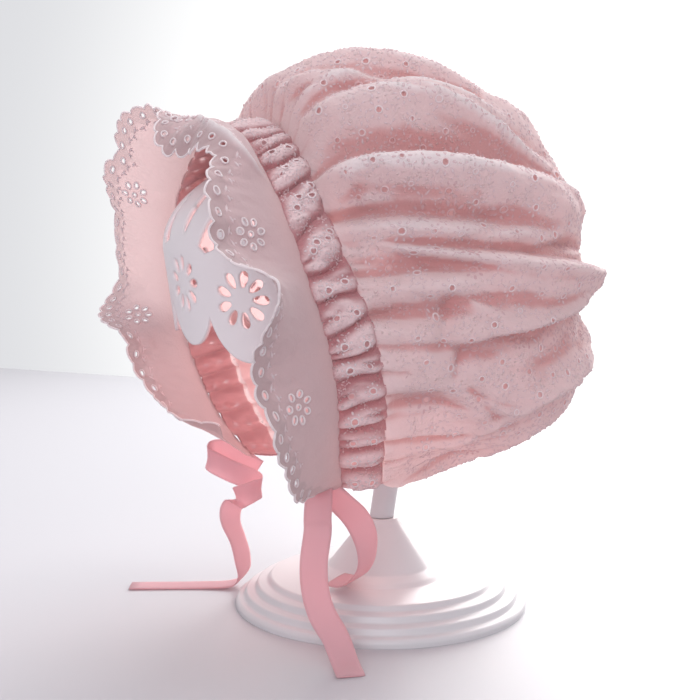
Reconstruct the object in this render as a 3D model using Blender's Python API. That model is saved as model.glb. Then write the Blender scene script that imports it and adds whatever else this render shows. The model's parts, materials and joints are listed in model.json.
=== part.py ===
"""A baby's sun cap of eyelet cotton, standing on its plain hat stand.

The cap is sewn from a full crown, a shirred band round the face, a waved brim with a
scalloped and pierced edge, and ribbon ties. The stand is a stepped base, a thin
leaning stem and an openwork dome that carries the cap.

Lengths below are millimetres and angles are degrees; the meshes are made in metres.
+Z is up, the face opening looks along -Y, and the wearer's left is +X. The origin is
the centre of the base's underside. Round the face, an angle is 0 at the top of the
head, +90 at the wearer's left ear and 180 at the nape.
"""

import bpy
import numpy as np
from mathutils.bvhtree import BVHTree

MM = 0.001
GAP = 0.3  # between pieces that touch
SEAM_GAP = 0.4  # between pieces sewn together
CLOTH = 1.6  # a cloth wall with its folds and embroidery


def table(columns, *rows):
    """A table with named columns: each column's name against its values."""
    return dict(zip(columns.split(), np.array(rows, float).T))


# The line round the face where brim and band are sewn together, from its centre.
FACE_CENTRE_Z = 151.0
CORNER = 149.0  # the angle at which band and brim end, at the jaw
FACE_LINE = table(
    "angle reach y",
    (0, 88, -88),
    (25, 83, -89),
    (50, 79, -88),
    (75, 79, -84),
    (95, 82, -77),
    (115, 85, -69),
    (135, 88, -60),
    (149, 92, -50),
)
# The crown's edge: behind the band, then round the open nape.
CROWN_EDGE = table(
    "angle reach y",
    (0, 90, -64),
    (25, 86, -67),
    (50, 82, -69),
    (75, 82, -63),
    (95, 85, -54),
    (115, 88, -46),
    (135, 91, -38),
    (149, 94, -28),
    (158, 91, -10),
    (169, 84, 10),
    (180, 80, 18),
)
# The creases between the band's puffs, where each meets the brim and the crown.
CREASES = table(
    "front rear",
    (3, 1),
    (13, 8),
    (22, 15),
    (30, 22),
    (38, 29),
    (49, 38),
    (65, 55),
    (78, 73),
    (86, 80),
    (95, 90),
    (102, 98),
    (109, 105),
    (117, 113),
    (124, 120),
    (132, 129),
    (140, 138),
    (149, 149),
)
PUFF_HEIGHT = 3.4  # of a puff as wide as the band's usual one
USUAL_PUFF = 9.0  # its width, as an angle
CREASE_DEPTH = 0.8

# The crown's full shape before its folds.
CROWN_CENTRE = np.array([0.0, 8.0, 175.5])
CROWN_HALF_WIDTH = 102.5
CROWN_HALF_HEIGHT = 102.5
CROWN_FRONT = 99.0
CROWN_BACK = 92.5
CROWN_FULLNESS = 2.2  # 2 is an ellipse, and more is boxier
CROWN_SETTLE = 3.4  # how far the cloth sinks at the top
CROWN_SAG = 18.0  # how far the cloth hangs back at the bottom and forward at the top
PUFF_RISE = 27.0  # how far back the crown takes to puff out to its full height
# The crown's folds run from the band to the back. front and back are a fold's angles
# there, start and end how far along it runs (0 at the band, 1 at the back), and a
# depth below 0 is a crest.
CROWN_FOLDS = table(
    "front back start end depth width",
    (-8, 43, 0.02, 0.85, -4, 9),
    (8, 36, 0.15, 0.80, -3, 8),
    (20, 28, 0.00, 0.50, 6, 8),
    (37, 47, -0.10, 0.60, 13, 8),
    (53, 61, -0.10, 0.50, 10, 7),
    (64, 73, -0.05, 0.90, 11, 6),
    (67, 76, 0.15, 1.10, -8, 6),
    (78, 73, -0.10, 0.30, 8, 7),
    (91, 86, -0.10, 0.22, 7, 6),
    (98, 86, 0.10, 0.85, 10, 8),
    (118, 116, -0.10, 0.16, 6, 8),
    (126, 104, 0.08, 0.80, -5, 8),
    (134, 113, 0.12, 0.75, 8, 8),
    (138, 124, 0.00, 0.45, -3, 8),
    (160, 140, -0.05, 0.60, 6, 8),
    (-22, -40, 0.03, 0.65, 6, 10),
    (-33, -50, 0.10, 0.80, -4, 9),
    (-45, -60, 0.03, 0.80, 8, 10),
    (-66, -72, -0.05, 0.50, 9, 9),
    (-76, -80, 0.10, 0.90, -5, 9),
    (-89, -86, -0.05, 0.85, 9, 9),
    (-109, -98, -0.05, 0.60, 7, 9),
    (-127, -112, -0.05, 0.80, 8, 9),
    (-150, -132, -0.05, 0.65, 7, 9),
)

# The brim's waves: its flare from straight ahead towards straight out, its width from the seam
# straight to the edge, and how high the cloth arches over that line.
BRIM_WAVES = table(
    "angle flare width arch",
    (-149, -42, 34, 0),
    (-140, -28, 42, 0),
    (-131, -24, 42, 0),
    (-120, -20, 42, 0),
    (-109, -18, 42, 0),
    (-101, -20, 42, 0),
    (-97, -10, 42, 0),
    (-92, 20, 42, 0),
    (-88, 46, 42, 0),
    (-83, 64, 42, 0),
    (-72, 64, 42, 0),
    (-62, 62, 42, 0),
    (-55, 52, 42, 0),
    (-49, 45, 42, 0),
    (-46, 46, 42, 0),
    (-41, 47, 37, 0),
    (-36, 45, 40, 0),
    (-28, 42, 40, 0),
    (-20, 40, 34, 1),
    (-14, 36, 28, 2),
    (-9, 25, 26, 3),
    (-4, 2, 29, 3),
    (0, -13, 33, 4),
    (5, -22, 34, 6),
    (11, -25, 31, 9),
    (19, -20, 27, 11),
    (26, -9, 26, 11),
    (33, 4, 26, 10),
    (40, 14, 28, 7),
    (46, 15, 34, 4),
    (53, 15, 39, 2),
    (60, 16, 41, 0),
    (70, 12, 42, 0),
    (75, 22, 42, 0),
    (80, 44, 42, 0),
    (85, 42, 42, 0),
    (92, 30, 42, 0),
    (99, 16, 42, 0),
    (106, 14, 42, 0),
    (113, 24, 42, 0),
    (120, 29, 42, 0),
    (127, 37, 41, 0),
    (134, 34, 38, 0),
    (142, 20, 30, 0),
    (149, 10, 18, 0),
)
SCALLOPS = 60  # along the brim's edge, each with one eyelet
SCALLOP_DEPTH = 2.6
EYELET_WIDTH = 3.2
EYELET_LENGTH = 5.0
EYELET_INSET = 5.4  # from the tip of its scallop to its centre
SCALLOP_BAND = 10.5  # the pierced strip along the edge

TIE_WIDTH = 12.5
TIE_THICKNESS = 1.0
# Each tie's route, and the way its width lies: a turn from +X and a lean upwards.
TIE_LEFT = table(
    "x y z turn lean",
    (50.0, -55.0, 69.6, 60, 0),
    (54.0, -62.0, 64.5, 60, 0),
    (56.5, -67.5, 56.0, 60, 0),
    (56.5, -69.5, 42.0, 60, 0),
    (57.0, -69.0, 30.0, 60, 0),
    (60.5, -67.5, 20.0, 64, 0),
    (67.0, -67.0, 11.0, 70, 0),
    (76.0, -67.5, 3.4, 78, 0),
    (87.0, -69.0, 0.8, 84, 0),
)
TIE_LEFT_TAIL = table(
    "x y z turn lean",
    (50.0, -49.0, 69.0, 60, 0),
    (46.5, -43.0, 59.0, 62, 0),
    (42.5, -38.5, 47.0, 68, 0),
    (41.0, -36.0, 36.0, 80, 0),
    (39.5, -34.5, 26.5, 88, 0),
    (33.5, -33.5, 20.0, 90, 14),
    (24.0, -33.0, 18.2, 92, 18),
    (12.0, -33.5, 18.2, 95, 18),
)
TIE_RIGHT = table(
    "x y z turn lean",
    (-52.0, -45.5, 64.0, 30, 60),
    (-57.0, -52.5, 69.5, 20, 70),
    (-63.0, -60.0, 74.0, 10, 80),
    (-66.5, -65.5, 73.5, 0, 82),
    (-63.5, -69.0, 70.5, 0, 82),
    (-56.0, -63.0, 66.0, 0, 80),
    (-48.0, -55.0, 62.0, 0, 80),
    (-42.5, -50.5, 59.5, 0, 78),
    (-38.5, -50.5, 57.5, 5, 76),
    (-39.5, -56.0, 55.0, 10, 68),
    (-44.5, -61.0, 51.5, 40, 45),
    (-48.5, -63.0, 45.5, 80, 20),
    (-49.5, -62.5, 38.0, 105, 5),
    (-48.0, -59.5, 29.0, 115, 0),
    (-47.5, -57.0, 19.0, 115, 0),
    (-50.5, -55.0, 9.0, 130, 0),
    (-58.0, -58.5, 2.4, 150, 0),
    (-69.0, -74.0, 0.8, 150, 0),
    (-86.0, -106.0, 0.8, 150, 0),
)
TIE_STEPS = 3  # stations to each row of a tie's table

# The stand.
BASE_RINGS = table(
    "radius z",
    (75.0, 0.0),
    (75.0, 2.4),
    (73.6, 4.0),
    (70.8, 4.4),
    (69.6, 7.6),
    (65.0, 8.2),
    (63.8, 11.4),
    (58.8, 12.0),
    (57.0, 14.6),
    (34.5, 15.2),
    (32.0, 17.2),
    (27.0, 19.6),
    (21.5, 26.5),
    (16.5, 33.0),
    (11.5, 40.0),
    (9.0, 44.0),
)
STEM_FOOT = 40.0  # the height at which its axis stands over the base's centre
BASE_SIDES = 36
STEM_RADIUS = 6.3
STEM_SIDES = 16
STEM_LEAN = np.array([0.072, 0.125]) / 0.990  # sideways for each millimetre up
HEAD_CENTRE = np.array([-5.0, -19.0])
HEAD_HALF_WIDTH = 70.0
HEAD_FRONT = 91.0
HEAD_BACK = 66.0
HEAD_SQUARENESS = 2.4  # of its plan: 2 is an ellipse
HEAD_TILT = np.array([-0.145, -0.126])  # the rim's rise for each millimetre across
HEAD_FULLNESS = 2.4  # of its profile
HEAD_DRIFT = 2.0  # how late it leans back towards the stem
HEAD_WIDEST_Z = 168.0
HEAD_HEIGHT = 95.0  # from there to its top, about
HEAD_WALL = 2.4
LOBES = 12
LOBE_TURN = 0.10  # of a lobe: how far the first stands from the front's middle
LOBE_Z = 152.6  # the height of the rosettes' centres on the head's axis
LOBE_RADIUS = 25.0


def curve(rows, column, at, level_ends=True):
    """A smooth curve through a table's column, read at some angles."""
    knots, values = rows["angle"], rows[column]
    slopes = np.gradient(values, knots)
    if level_ends:
        slopes[[0, -1]] = 0.0
    i = np.clip(np.searchsorted(knots, at, side="right") - 1, 0, len(knots) - 2)
    step = knots[i + 1] - knots[i]
    t = np.clip((at - knots[i]) / step, 0, 1)
    return (
        (1 + 2 * t) * (1 - t) ** 2 * values[i]
        + t * (1 - t) ** 2 * step * slopes[i]
        + t * t * (3 - 2 * t) * values[i + 1]
        + t * t * (t - 1) * step * slopes[i + 1]
    )


def ring_point(rows, angle, level_ends=True):
    """The points of a ring round the face, mirrored from the wearer's left."""
    reach = curve(rows, "reach", np.abs(angle), level_ends)
    turn = np.radians(angle)
    return np.stack(
        [
            reach * np.sin(turn),
            curve(rows, "y", np.abs(angle), level_ends),
            FACE_CENTRE_Z + reach * np.cos(turn),
        ],
        -1,
    )


def outward(angle):
    """The direction straight out from the face opening's centre."""
    turn = np.radians(angle)
    return np.stack([np.sin(turn), 0 * turn, np.cos(turn)], -1)


def puff(angle, across):
    """How far the shirring stands out, from the brim's seam (0) to the crown's (1)."""
    side = np.abs(angle)
    at = side + np.interp(side, CREASES["front"], CREASES["front"] - CREASES["rear"]) * across
    fronts = np.concatenate([[-CREASES["front"][0]], CREASES["front"], [165, 180]])
    order = np.interp(at, fronts, np.arange(len(fronts)))
    wide = np.diff(fronts)[np.clip(order.astype(int), 0, len(fronts) - 2)]
    height = PUFF_HEIGHT * np.sqrt(wide / USUAL_PUFF)
    return height * np.abs(np.sin(np.pi * order)) ** 0.8 - CREASE_DEPTH


def crown_form(angle, along):
    """The crown's smooth form: its points, their outward directions, and how far back
    each lies.

    angle is round the face, and along runs from 0 at the crown's edge to 1 at the
    back. It is an egg shape, drawn in to the crown's edge over PUFF_RISE.
    """
    edge = ring_point(CROWN_EDGE, angle)
    turn = np.arctan2(edge[..., 0], edge[..., 2] - CROWN_CENTRE[2])
    power = 2 / CROWN_FULLNESS
    forward = (CROWN_CENTRE[1] - edge[..., 1]) / CROWN_FRONT
    first = np.arccos(-np.sign(forward) * np.abs(forward) ** (1 / power))
    reach = (
        np.abs(np.sin(turn) / CROWN_HALF_WIDTH) ** CROWN_FULLNESS
        + np.abs(np.cos(turn) / CROWN_HALF_HEIGHT) ** CROWN_FULLNESS
    ) ** (-1 / CROWN_FULLNESS)

    def egg(tilt):
        ahead = np.sign(np.cos(tilt)) * np.abs(np.cos(tilt)) ** power
        out = reach * np.sin(tilt) ** power
        return np.stack(
            [
                out * np.sin(turn),
                CROWN_CENTRE[1] + ahead * np.where(ahead > 0, CROWN_BACK, CROWN_FRONT),
                CROWN_CENTRE[2] + out * np.cos(turn),
            ],
            -1,
        )

    tilt = first * (1 - along)
    back = (first - tilt) * (CROWN_HALF_WIDTH + CROWN_BACK) / 2
    pull = np.clip(1 - back / PUFF_RISE, 0, 1) ** 2
    point = egg(tilt) + (edge - egg(first)) * pull[..., None]
    sag = CROWN_SAG * (CROWN_CENTRE[2] - point[..., 2]) / CROWN_HALF_HEIGHT
    point[..., 1] += sag * (1 - pull)
    out = (point - CROWN_CENTRE) / [CROWN_HALF_WIDTH**2, CROWN_BACK**2, CROWN_HALF_HEIGHT**2]
    out /= np.linalg.norm(out, axis=-1, keepdims=True)
    return point, out, back


def fold_relief(angle, along, radius):
    """How far the long folds stand out (or in) at a place on the crown, whose distance
    from the front-to-back axis is radius."""
    relief = np.zeros(np.broadcast(angle, along).shape)
    for front, back, start, end, depth, width in zip(*CROWN_FOLDS.values()):
        t = np.clip((along - start) / (end - start), 0, 1)
        centre = front + (back - front) * np.sin(np.pi / 2 * t)
        x = np.radians(angle - centre) * radius / width
        shape = np.exp(-x * x) - 0.3 * np.exp(-((np.abs(x) - 1.9) ** 2))
        relief -= depth * shape * np.sin(np.pi * t) ** 0.7
    relief *= 1 - along**6  # the folds die out at the back
    return relief - CROWN_SETTLE * np.cos(np.radians(angle) / 2) ** 4


def crown_point(angle, along):
    """A point on the crown's outer side, with its gathers and folds, and the direction
    in which they stand out there."""
    point, out, back = crown_form(angle, along)
    radius = np.hypot(point[..., 0], point[..., 2] - CROWN_CENTRE[2])
    gathers = puff(angle, 1.0) * np.exp(-back / 18)
    relief = gathers + fold_relief(angle, along, radius)
    ahead = np.clip(1 - back / 16, 0, 1)[..., None]  # at its edge it puffs straight out
    way = out * (1 - ahead) + outward(angle) * ahead
    return point + relief[..., None] * way, way


def band_point(angle, across):
    """A point on the outer side of the shirred band, 0 at the brim and 1 at the crown."""
    front = ring_point(FACE_LINE, angle, False)
    rear = ring_point(CROWN_EDGE, angle) - [0, SEAM_GAP, 0]
    swell = 0.45 + 0.55 * np.sin(np.pi * across)
    middle = front + (rear - front) * across[..., None]
    return middle + outward(angle) * (puff(angle, across) * swell)[..., None]


def brim_point(angle, out):
    """A point on the brim's outer side: out is millimetres from its seam, and below 0
    it is measured from the edge inwards."""
    base = ring_point(FACE_LINE, angle, False) - [0, SEAM_GAP, 0]
    width = curve(BRIM_WAVES, "width", angle)
    reach = np.where(out > 0, out, width + out)
    share = reach / width
    arch = curve(BRIM_WAVES, "arch", angle) * np.sin(np.pi * share)
    flare = np.radians(curve(BRIM_WAVES, "flare", angle) * (0.55 + 0.45 * share))[..., None]
    ahead = np.array([0.0, -1.0, 0.0])
    turn = np.cos(flare) * ahead + np.sin(flare) * outward(angle)
    rise = np.cos(flare) * outward(angle) - np.sin(flare) * ahead
    return base + turn * reach[..., None] + rise * arch[..., None]


def new_object(name, points, faces, colour, roughness=0.6, smooth=True):
    """An object made of points in millimetres and faces, with its own material."""
    mesh = bpy.data.meshes.new(name)
    mesh.from_pydata((np.asarray(points) * MM).tolist(), [], faces)
    mesh.update()
    if smooth:
        mesh.shade_smooth()
    material = bpy.data.materials.new(name)
    material.use_nodes = True
    shader = material.node_tree.nodes["Principled BSDF"]
    shader.inputs["Base Color"].default_value = (*colour, 1)
    shader.inputs["Roughness"].default_value = roughness
    shader.inputs["Metallic"].default_value = 0.0
    mesh.materials.append(material)
    made = bpy.data.objects.new(name, mesh)
    bpy.context.collection.objects.link(made)
    return made


def sheet_normals(points, faces, seams=()):
    """The outward directions of a sheet. Along its seams they stand square to the
    front-to-back axis, so that its wall meets the next piece's evenly."""
    points = np.asarray(points, float)
    normals = np.zeros_like(points)
    for face in faces:
        ring = points[list(face)]
        normals[list(face)] += np.cross(ring - ring[0], np.roll(ring, -1, 0) - ring[0]).sum(0)
    normals[list(seams), 1] = 0
    return normals / np.linalg.norm(normals, axis=1, keepdims=True)


def triangles(points, face):
    """A face's triangles, so that a wall's two sides fold along the same lines."""
    if len(face) == 4:
        a, b, c, d = points[list(face)]
        if np.linalg.norm(a - c) > np.linalg.norm(b - d):
            face = (*face[1:], face[0])
    return [(face[0], face[i], face[i + 1]) for i in range(1, len(face) - 1)]


def walled(points, faces, wall, normals):
    """A sheet with its wall on the inner side, as points and faces of a closed solid."""
    points = np.asarray(points, float)
    count = len(points)
    faces = [part for face in faces for part in triangles(points, face)]
    sides = [(a, b) for f in faces for a, b in zip(f, (*f[1:], f[0]))]
    inner = [tuple(count + v for v in f[::-1]) for f in faces]
    open_sides = set(sides) - {(b, a) for a, b in sides}
    rims = [(b, a, count + a, count + b) for a, b in sorted(open_sides)]
    return np.vstack([points, points - wall * normals]), [*faces, *inner, *rims]


def grid_faces(rows, columns, closed=False):
    """The faces of a grid of points kept row by row."""
    last = columns if closed else columns - 1
    return [
        (r * columns + c, r * columns + (c + 1) % columns,
         (r + 1) * columns + (c + 1) % columns, (r + 1) * columns + c)
        for r in range(rows - 1)
        for c in range(last)
    ]


COTTON = (0.80, 0.52, 0.55)
RIBBON = (0.84, 0.50, 0.54)
WHITE = (0.86, 0.84, 0.87)


def crease_angles(per_puff):
    """Angles from corner to corner, with some to each puff of the band."""
    half = CREASES["front"]
    steps = np.arange(per_puff) / per_puff
    side = (half[:-1, None] + np.diff(half)[:, None] * steps).ravel()
    side = np.append(side, half[-1])
    top = -half[0] + 2 * half[0] * np.arange(1, per_puff) / per_puff
    return np.concatenate([-side[::-1], top, side])


def make_crown():
    """The crown: a puffed sheet from its edge to one point at the back."""
    nape = np.array([155, 161, 167, 173, 180])
    angles = np.concatenate([-nape[:-1][::-1], crease_angles(2), nape])
    along = np.array([0, 0.03, 0.07, 0.12, 0.19, 0.27, 0.36, 0.46, 0.57, 0.69, 0.82, 0.93])
    points, ways = (a.reshape(-1, 3) for a in crown_point(angles[None, :], along[:, None]))
    count = len(angles)
    faces = grid_faces(len(along), count, closed=True)
    tip_point, tip_way = crown_point(np.array([0.0]), np.array([1.0]))
    points = np.vstack([points, tip_point])
    ways = np.vstack([ways, tip_way])
    first = (len(along) - 1) * count
    tip = len(points) - 1
    faces += [(first + c, first + (c + 1) % count, tip) for c in range(count)]
    return new_object("crown", *walled(points, faces, CLOTH, ways), COTTON, 0.85)


def make_band():
    """The face band: an elastic casing drawn up into puffs."""
    angles = crease_angles(3)
    across = np.array([0, 0.25, 0.75, 1.0])
    points = band_point(angles[None, :], across[:, None]).reshape(-1, 3)
    faces = grid_faces(len(across), len(angles))
    ways = np.tile(outward(angles), (len(across), 1))
    return new_object("face_band", *walled(points, faces, CLOTH, ways), COTTON, 0.85)


def scallop_angles(count):
    """Angles that space the scallops evenly along the brim's waved edge."""
    fine = np.linspace(-CORNER, CORNER, 2401)
    edge = brim_point(fine, np.full_like(fine, -0.0001))
    gone = np.concatenate([[0], np.cumsum(np.linalg.norm(np.diff(edge, axis=0), axis=1))])
    return np.interp(np.linspace(0, gone[-1], count + 1), gone, fine), gone[-1] / count


def make_brim():
    """The brim: a waved ruffle whose scalloped edge has an eyelet in each scallop."""
    marks, pitch = scallop_angles(SCALLOPS)
    points, faces = [], []

    def place(angle, out):
        points.append(brim_point(np.array(angle), np.array(float(out))))
        return len(points) - 1

    width = curve(BRIM_WAVES, "width", marks)
    share = np.clip((width - SCALLOP_BAND) / width, 0.3, 1)
    inner = [[place(a, 0.001 + w * s * r) for a, w, s in zip(marks, width, share)]
             for r in (0, 0.36, 0.7, 1.0)]
    for below, above in zip(inner[:-1], inner[1:]):
        faces += [(below[i], above[i], above[i + 1], below[i + 1]) for i in range(SCALLOPS)]
    notch = [place(a, -SCALLOP_DEPTH) for a in marks]
    for i in range(SCALLOPS):
        step = marks[i + 1] - marks[i]
        swell = [place(marks[i] + step * t, -SCALLOP_DEPTH * (1 - np.sin(np.pi * t)) - 0.001)
                 for t in (0.25, 0.5, 0.75)]
        around = np.radians(np.arange(270, 630, 60))
        hole = [place(marks[i] + step * (0.5 + EYELET_WIDTH / 2 / pitch * np.cos(a)),
                      -EYELET_INSET + EYELET_LENGTH / 2 * np.sin(a)) for a in around]
        low, high = inner[-1][i], inner[-1][i + 1]
        bottom, right_low, right_high, top, left_high, left_low = hole
        faces += [
            (high, low, bottom),
            (high, bottom, right_low),
            (notch[i + 1], high, right_low, right_high),
            (swell[2], notch[i + 1], right_high),
            (swell[1], swell[2], right_high, top),
            (swell[0], swell[1], top, left_high),
            (notch[i], swell[0], left_high),
            (low, notch[i], left_high, left_low),
            (low, left_low, bottom),
        ]
    ways = sheet_normals(points, faces, range(SCALLOPS + 1))
    return new_object("brim", *walled(points, faces, CLOTH, ways), COTTON, 0.85)


def ribbon_stations(rows, steps):
    """Points along a tie's route, each with its direction across."""
    knots = np.arange(len(rows["x"]), dtype=float)
    at = np.linspace(0, knots[-1], (len(knots) - 1) * steps + 1)
    rows = {**rows, "angle": knots}
    middle = np.stack([curve(rows, c, at, False) for c in "xyz"], -1)
    turn = np.radians(curve(rows, "turn", at, False))
    lean = np.radians(curve(rows, "lean", at, False))
    across = np.stack(
        [np.cos(turn) * np.cos(lean), np.sin(turn) * np.cos(lean), np.sin(lean)], -1
    )
    way = np.gradient(middle, axis=0)
    way /= np.linalg.norm(way, axis=1, keepdims=True)
    across -= way * (across * way).sum(1, keepdims=True)
    across /= np.linalg.norm(across, axis=1, keepdims=True)
    return middle, across, np.cross(way, across)


def make_tie(name, rows):
    """A ribbon: a flat strip along its route."""
    middle, across, face = ribbon_stations(rows, TIE_STEPS)
    half = across * TIE_WIDTH / 2
    deep = face * TIE_THICKNESS / 2
    ring = np.stack([middle - half - deep, middle + half - deep,
                     middle + half + deep, middle - half + deep], 1)
    faces = grid_faces(len(middle), 4, closed=True)
    faces += [(3, 2, 1, 0), tuple(len(middle) * 4 - 4 + i for i in range(4))]
    return new_object(name, ring.reshape(-1, 3), faces, RIBBON, 0.7, smooth=False)


def turned(name, radii, heights, sides, colour, shift=None):
    """A closed solid of round sections, one above the other."""
    turn = np.arange(sides) / sides * 2 * np.pi
    rings = np.stack([np.outer(radii, np.cos(turn)), np.outer(radii, np.sin(turn)),
                      np.repeat(heights[:, None], sides, 1)], -1)
    if shift is not None:
        rings[..., :2] += shift[:, None, :]
    faces = grid_faces(len(heights), sides, closed=True)
    faces += [tuple(range(sides))[::-1],
              tuple((len(heights) - 1) * sides + c for c in range(sides))]
    made = new_object(name, rings.reshape(-1, 3), faces, colour, 0.35)
    made.data.set_sharp_from_angle(angle=np.radians(35))
    return made


def head_plan(share):
    """The dome's plan at a share of the way round its rim, from the front's middle."""
    turn = np.linspace(-np.pi, np.pi, 721)
    power = 2 / HEAD_SQUARENESS
    x = np.sign(np.sin(turn)) * np.abs(np.sin(turn)) ** power * HEAD_HALF_WIDTH
    y = np.sign(np.cos(turn)) * np.abs(np.cos(turn)) ** power
    y = -y * np.where(y > 0, HEAD_FRONT, HEAD_BACK)
    gone = np.concatenate([[0], np.cumsum(np.hypot(np.diff(x), np.diff(y)))])
    at = (share + 0.5) % 1 * gone[-1]
    return np.array([np.interp(at, gone, x), np.interp(at, gone, y)])


def head_point(lobe, z, height):
    """A point on the dome: lobe counts lobes round its rim, and z is where the point
    would be on a level dome of the usual height."""
    up = np.clip((z - HEAD_WIDEST_Z) / HEAD_HEIGHT, 0, 1)
    down = np.clip((HEAD_WIDEST_Z - z) / HEAD_HEIGHT, 0, 1)
    share = (1 - up**HEAD_FULLNESS) ** 0.5 - 0.15 * down
    across = head_plan((lobe + LOBE_TURN) / LOBES) * share
    top = STEM_LEAN * (HEAD_WIDEST_Z + height - STEM_FOOT)
    middle = HEAD_CENTRE + (top - HEAD_CENTRE) * up**HEAD_DRIFT
    rise = across @ HEAD_TILT * (1 - up) + up * (height - HEAD_HEIGHT)
    return [*(middle + across), z + rise]


def head_sheet(height):
    """The dome as a sheet: rosette lobes, slotted ribs and the gaps between them."""
    wide = 1.9 * LOBE_RADIUS
    points, faces, ring = [], [], []

    def place(lobe, t, z):
        points.append(head_point(lobe + t, z, height))
        return len(points) - 1

    def lobe_edge(t):
        return LOBE_Z - np.sqrt(LOBE_RADIUS**2 - (t * wide) ** 2)

    for lobe in range(LOBES):
        ring.append({
            "edge": [place(lobe, t, lobe_edge(t)) for t in (-0.5, -0.3, -0.1, 0.1, 0.3)],
            "waist": [place(lobe, t, 155) for t in (-0.5, -0.3, -0.1, 0.1, 0.3)],
            "rib": [place(lobe, t, z) for t, z in
                    ((-0.5, 174), (-0.34, 177), (-0.07, 181), (0.07, 181), (0.34, 177))],
            "slot": [place(lobe, t, z) for t, z in ((-0.5, 206), (-0.06, 220), (0.06, 220))],
            "shoulder": [place(lobe, t, 236) for t in (-0.5, 0)],
            "crest": [place(lobe, -0.5, 248)],
        })
    points.append(head_point(0, HEAD_WIDEST_Z + HEAD_HEIGHT, height))
    for lobe in range(LOBES):
        here, there = ring[lobe], ring[(lobe + 1) % LOBES]
        edge = here["edge"] + there["edge"][:1]
        waist = here["waist"] + there["waist"][:1]
        rib = here["rib"] + there["rib"][:1]
        slot = here["slot"] + there["slot"][:1]
        faces += [(edge[i], edge[i + 1], waist[i + 1], waist[i]) for i in range(5)]
        faces += [(waist[i], waist[i + 1], rib[i + 1], rib[i]) for i in range(5)]
        faces += [
            (rib[1], rib[2], slot[1], slot[0]),
            (rib[3], rib[4], slot[3], slot[2]),
            (slot[0], slot[1], here["shoulder"][1], here["shoulder"][0]),
            (slot[1], slot[2], here["shoulder"][1]),
            (slot[2], slot[3], there["shoulder"][0], here["shoulder"][1]),
            (*here["shoulder"], there["shoulder"][0], there["crest"][0], here["crest"][0]),
            (here["crest"][0], there["crest"][0], len(points) - 1),
        ]
    return points, faces


def head_solid(height):
    """The dome as a closed solid."""
    points, faces = head_sheet(height)
    return walled(points, faces, HEAD_WALL, sheet_normals(points, faces))


def solid_tree(cloths):
    """The surface of some objects, and their points."""
    points, faces = [], []
    for cloth in cloths:
        first = len(points)
        points += [v.co.copy() for v in cloth.data.vertices]
        faces += [[first + v for v in p.vertices] for p in cloth.data.polygons]
    return BVHTree.FromPolygons(points, faces), points


def clears(tree, cloth_points, points, faces):
    """Whether a solid stays a gap away from the cloth."""
    solid = BVHTree.FromPolygons((points * MM).tolist(), faces)
    if solid.overlap(tree):
        return False
    near = [solid.find_nearest(p)[3] for p in cloth_points]
    far = [tree.find_nearest(p)[3] for p in points * MM]
    return min(*near, *far) > GAP * MM


def make_stand(cloths):
    """The stand. Its dome is as tall as the cap has room for, and carries it."""
    turned("stand_base", BASE_RINGS["radius"], BASE_RINGS["z"], BASE_SIDES, WHITE)
    tree, cloth_points = solid_tree(cloths)
    low, high = 70.0, 110.0
    for _ in range(12):
        height = (low + high) / 2
        if clears(tree, cloth_points, *head_solid(height)):
            low = height
        else:
            high = height
    points, faces = head_solid(low)
    new_object("stand_head", points, faces, WHITE, 0.35)

    dome = BVHTree.FromPolygons((points * MM).tolist(), faces)
    lean = np.array([*STEM_LEAN, 1.0])
    foot = np.array([*(-STEM_LEAN * STEM_FOOT), 0.0]) + lean * 150
    turn = np.arange(STEM_SIDES) / STEM_SIDES * 2 * np.pi
    rim = STEM_RADIUS * np.stack([np.cos(turn), np.sin(turn), 0 * turn], -1)
    hits = [dome.ray_cast((foot + r) * MM, lean)[0][2] for r in rim]
    heights = np.array([BASE_RINGS["z"][-1] + GAP, min(hits) / MM - GAP])
    shift = np.outer(heights - STEM_FOOT, STEM_LEAN)
    turned("stand_stem", np.full(2, STEM_RADIUS), heights, STEM_SIDES, WHITE, shift)


def main():
    for old in list(bpy.data.objects):
        bpy.data.objects.remove(old, do_unlink=True)
    cloths = [make_crown(), make_band(), make_brim()]
    make_tie("tie_left", TIE_LEFT)
    make_tie("tie_left_tail", TIE_LEFT_TAIL)
    make_tie("tie_right", TIE_RIGHT)
    make_stand(cloths)


main()
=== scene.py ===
# %% [markdown]
# # A baby's sun cap of eyelet cotton, on its stand
#
# The cap is sewn from four kinds of cloth work: a full crown, an elastic band drawn up into
# puffs, a waved brim with a pierced and scalloped edge, and ribbon ties. The stand is moulded
# plastic: a stepped base, a leaning stem and an openwork dome that fills the cap. Under the crown
# lies a plain lining, and under the band a plain casing.
#
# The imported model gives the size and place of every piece. This script adds what a solid can't
# show: the thin cloth with its puckers and real holes, the raised stitching, the light that comes
# through the cotton, and the gloss of the plastic. Lengths are millimetres and angles are degrees
# until a mesh is made; +Z is up and the face opening looks along -Y.

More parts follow.
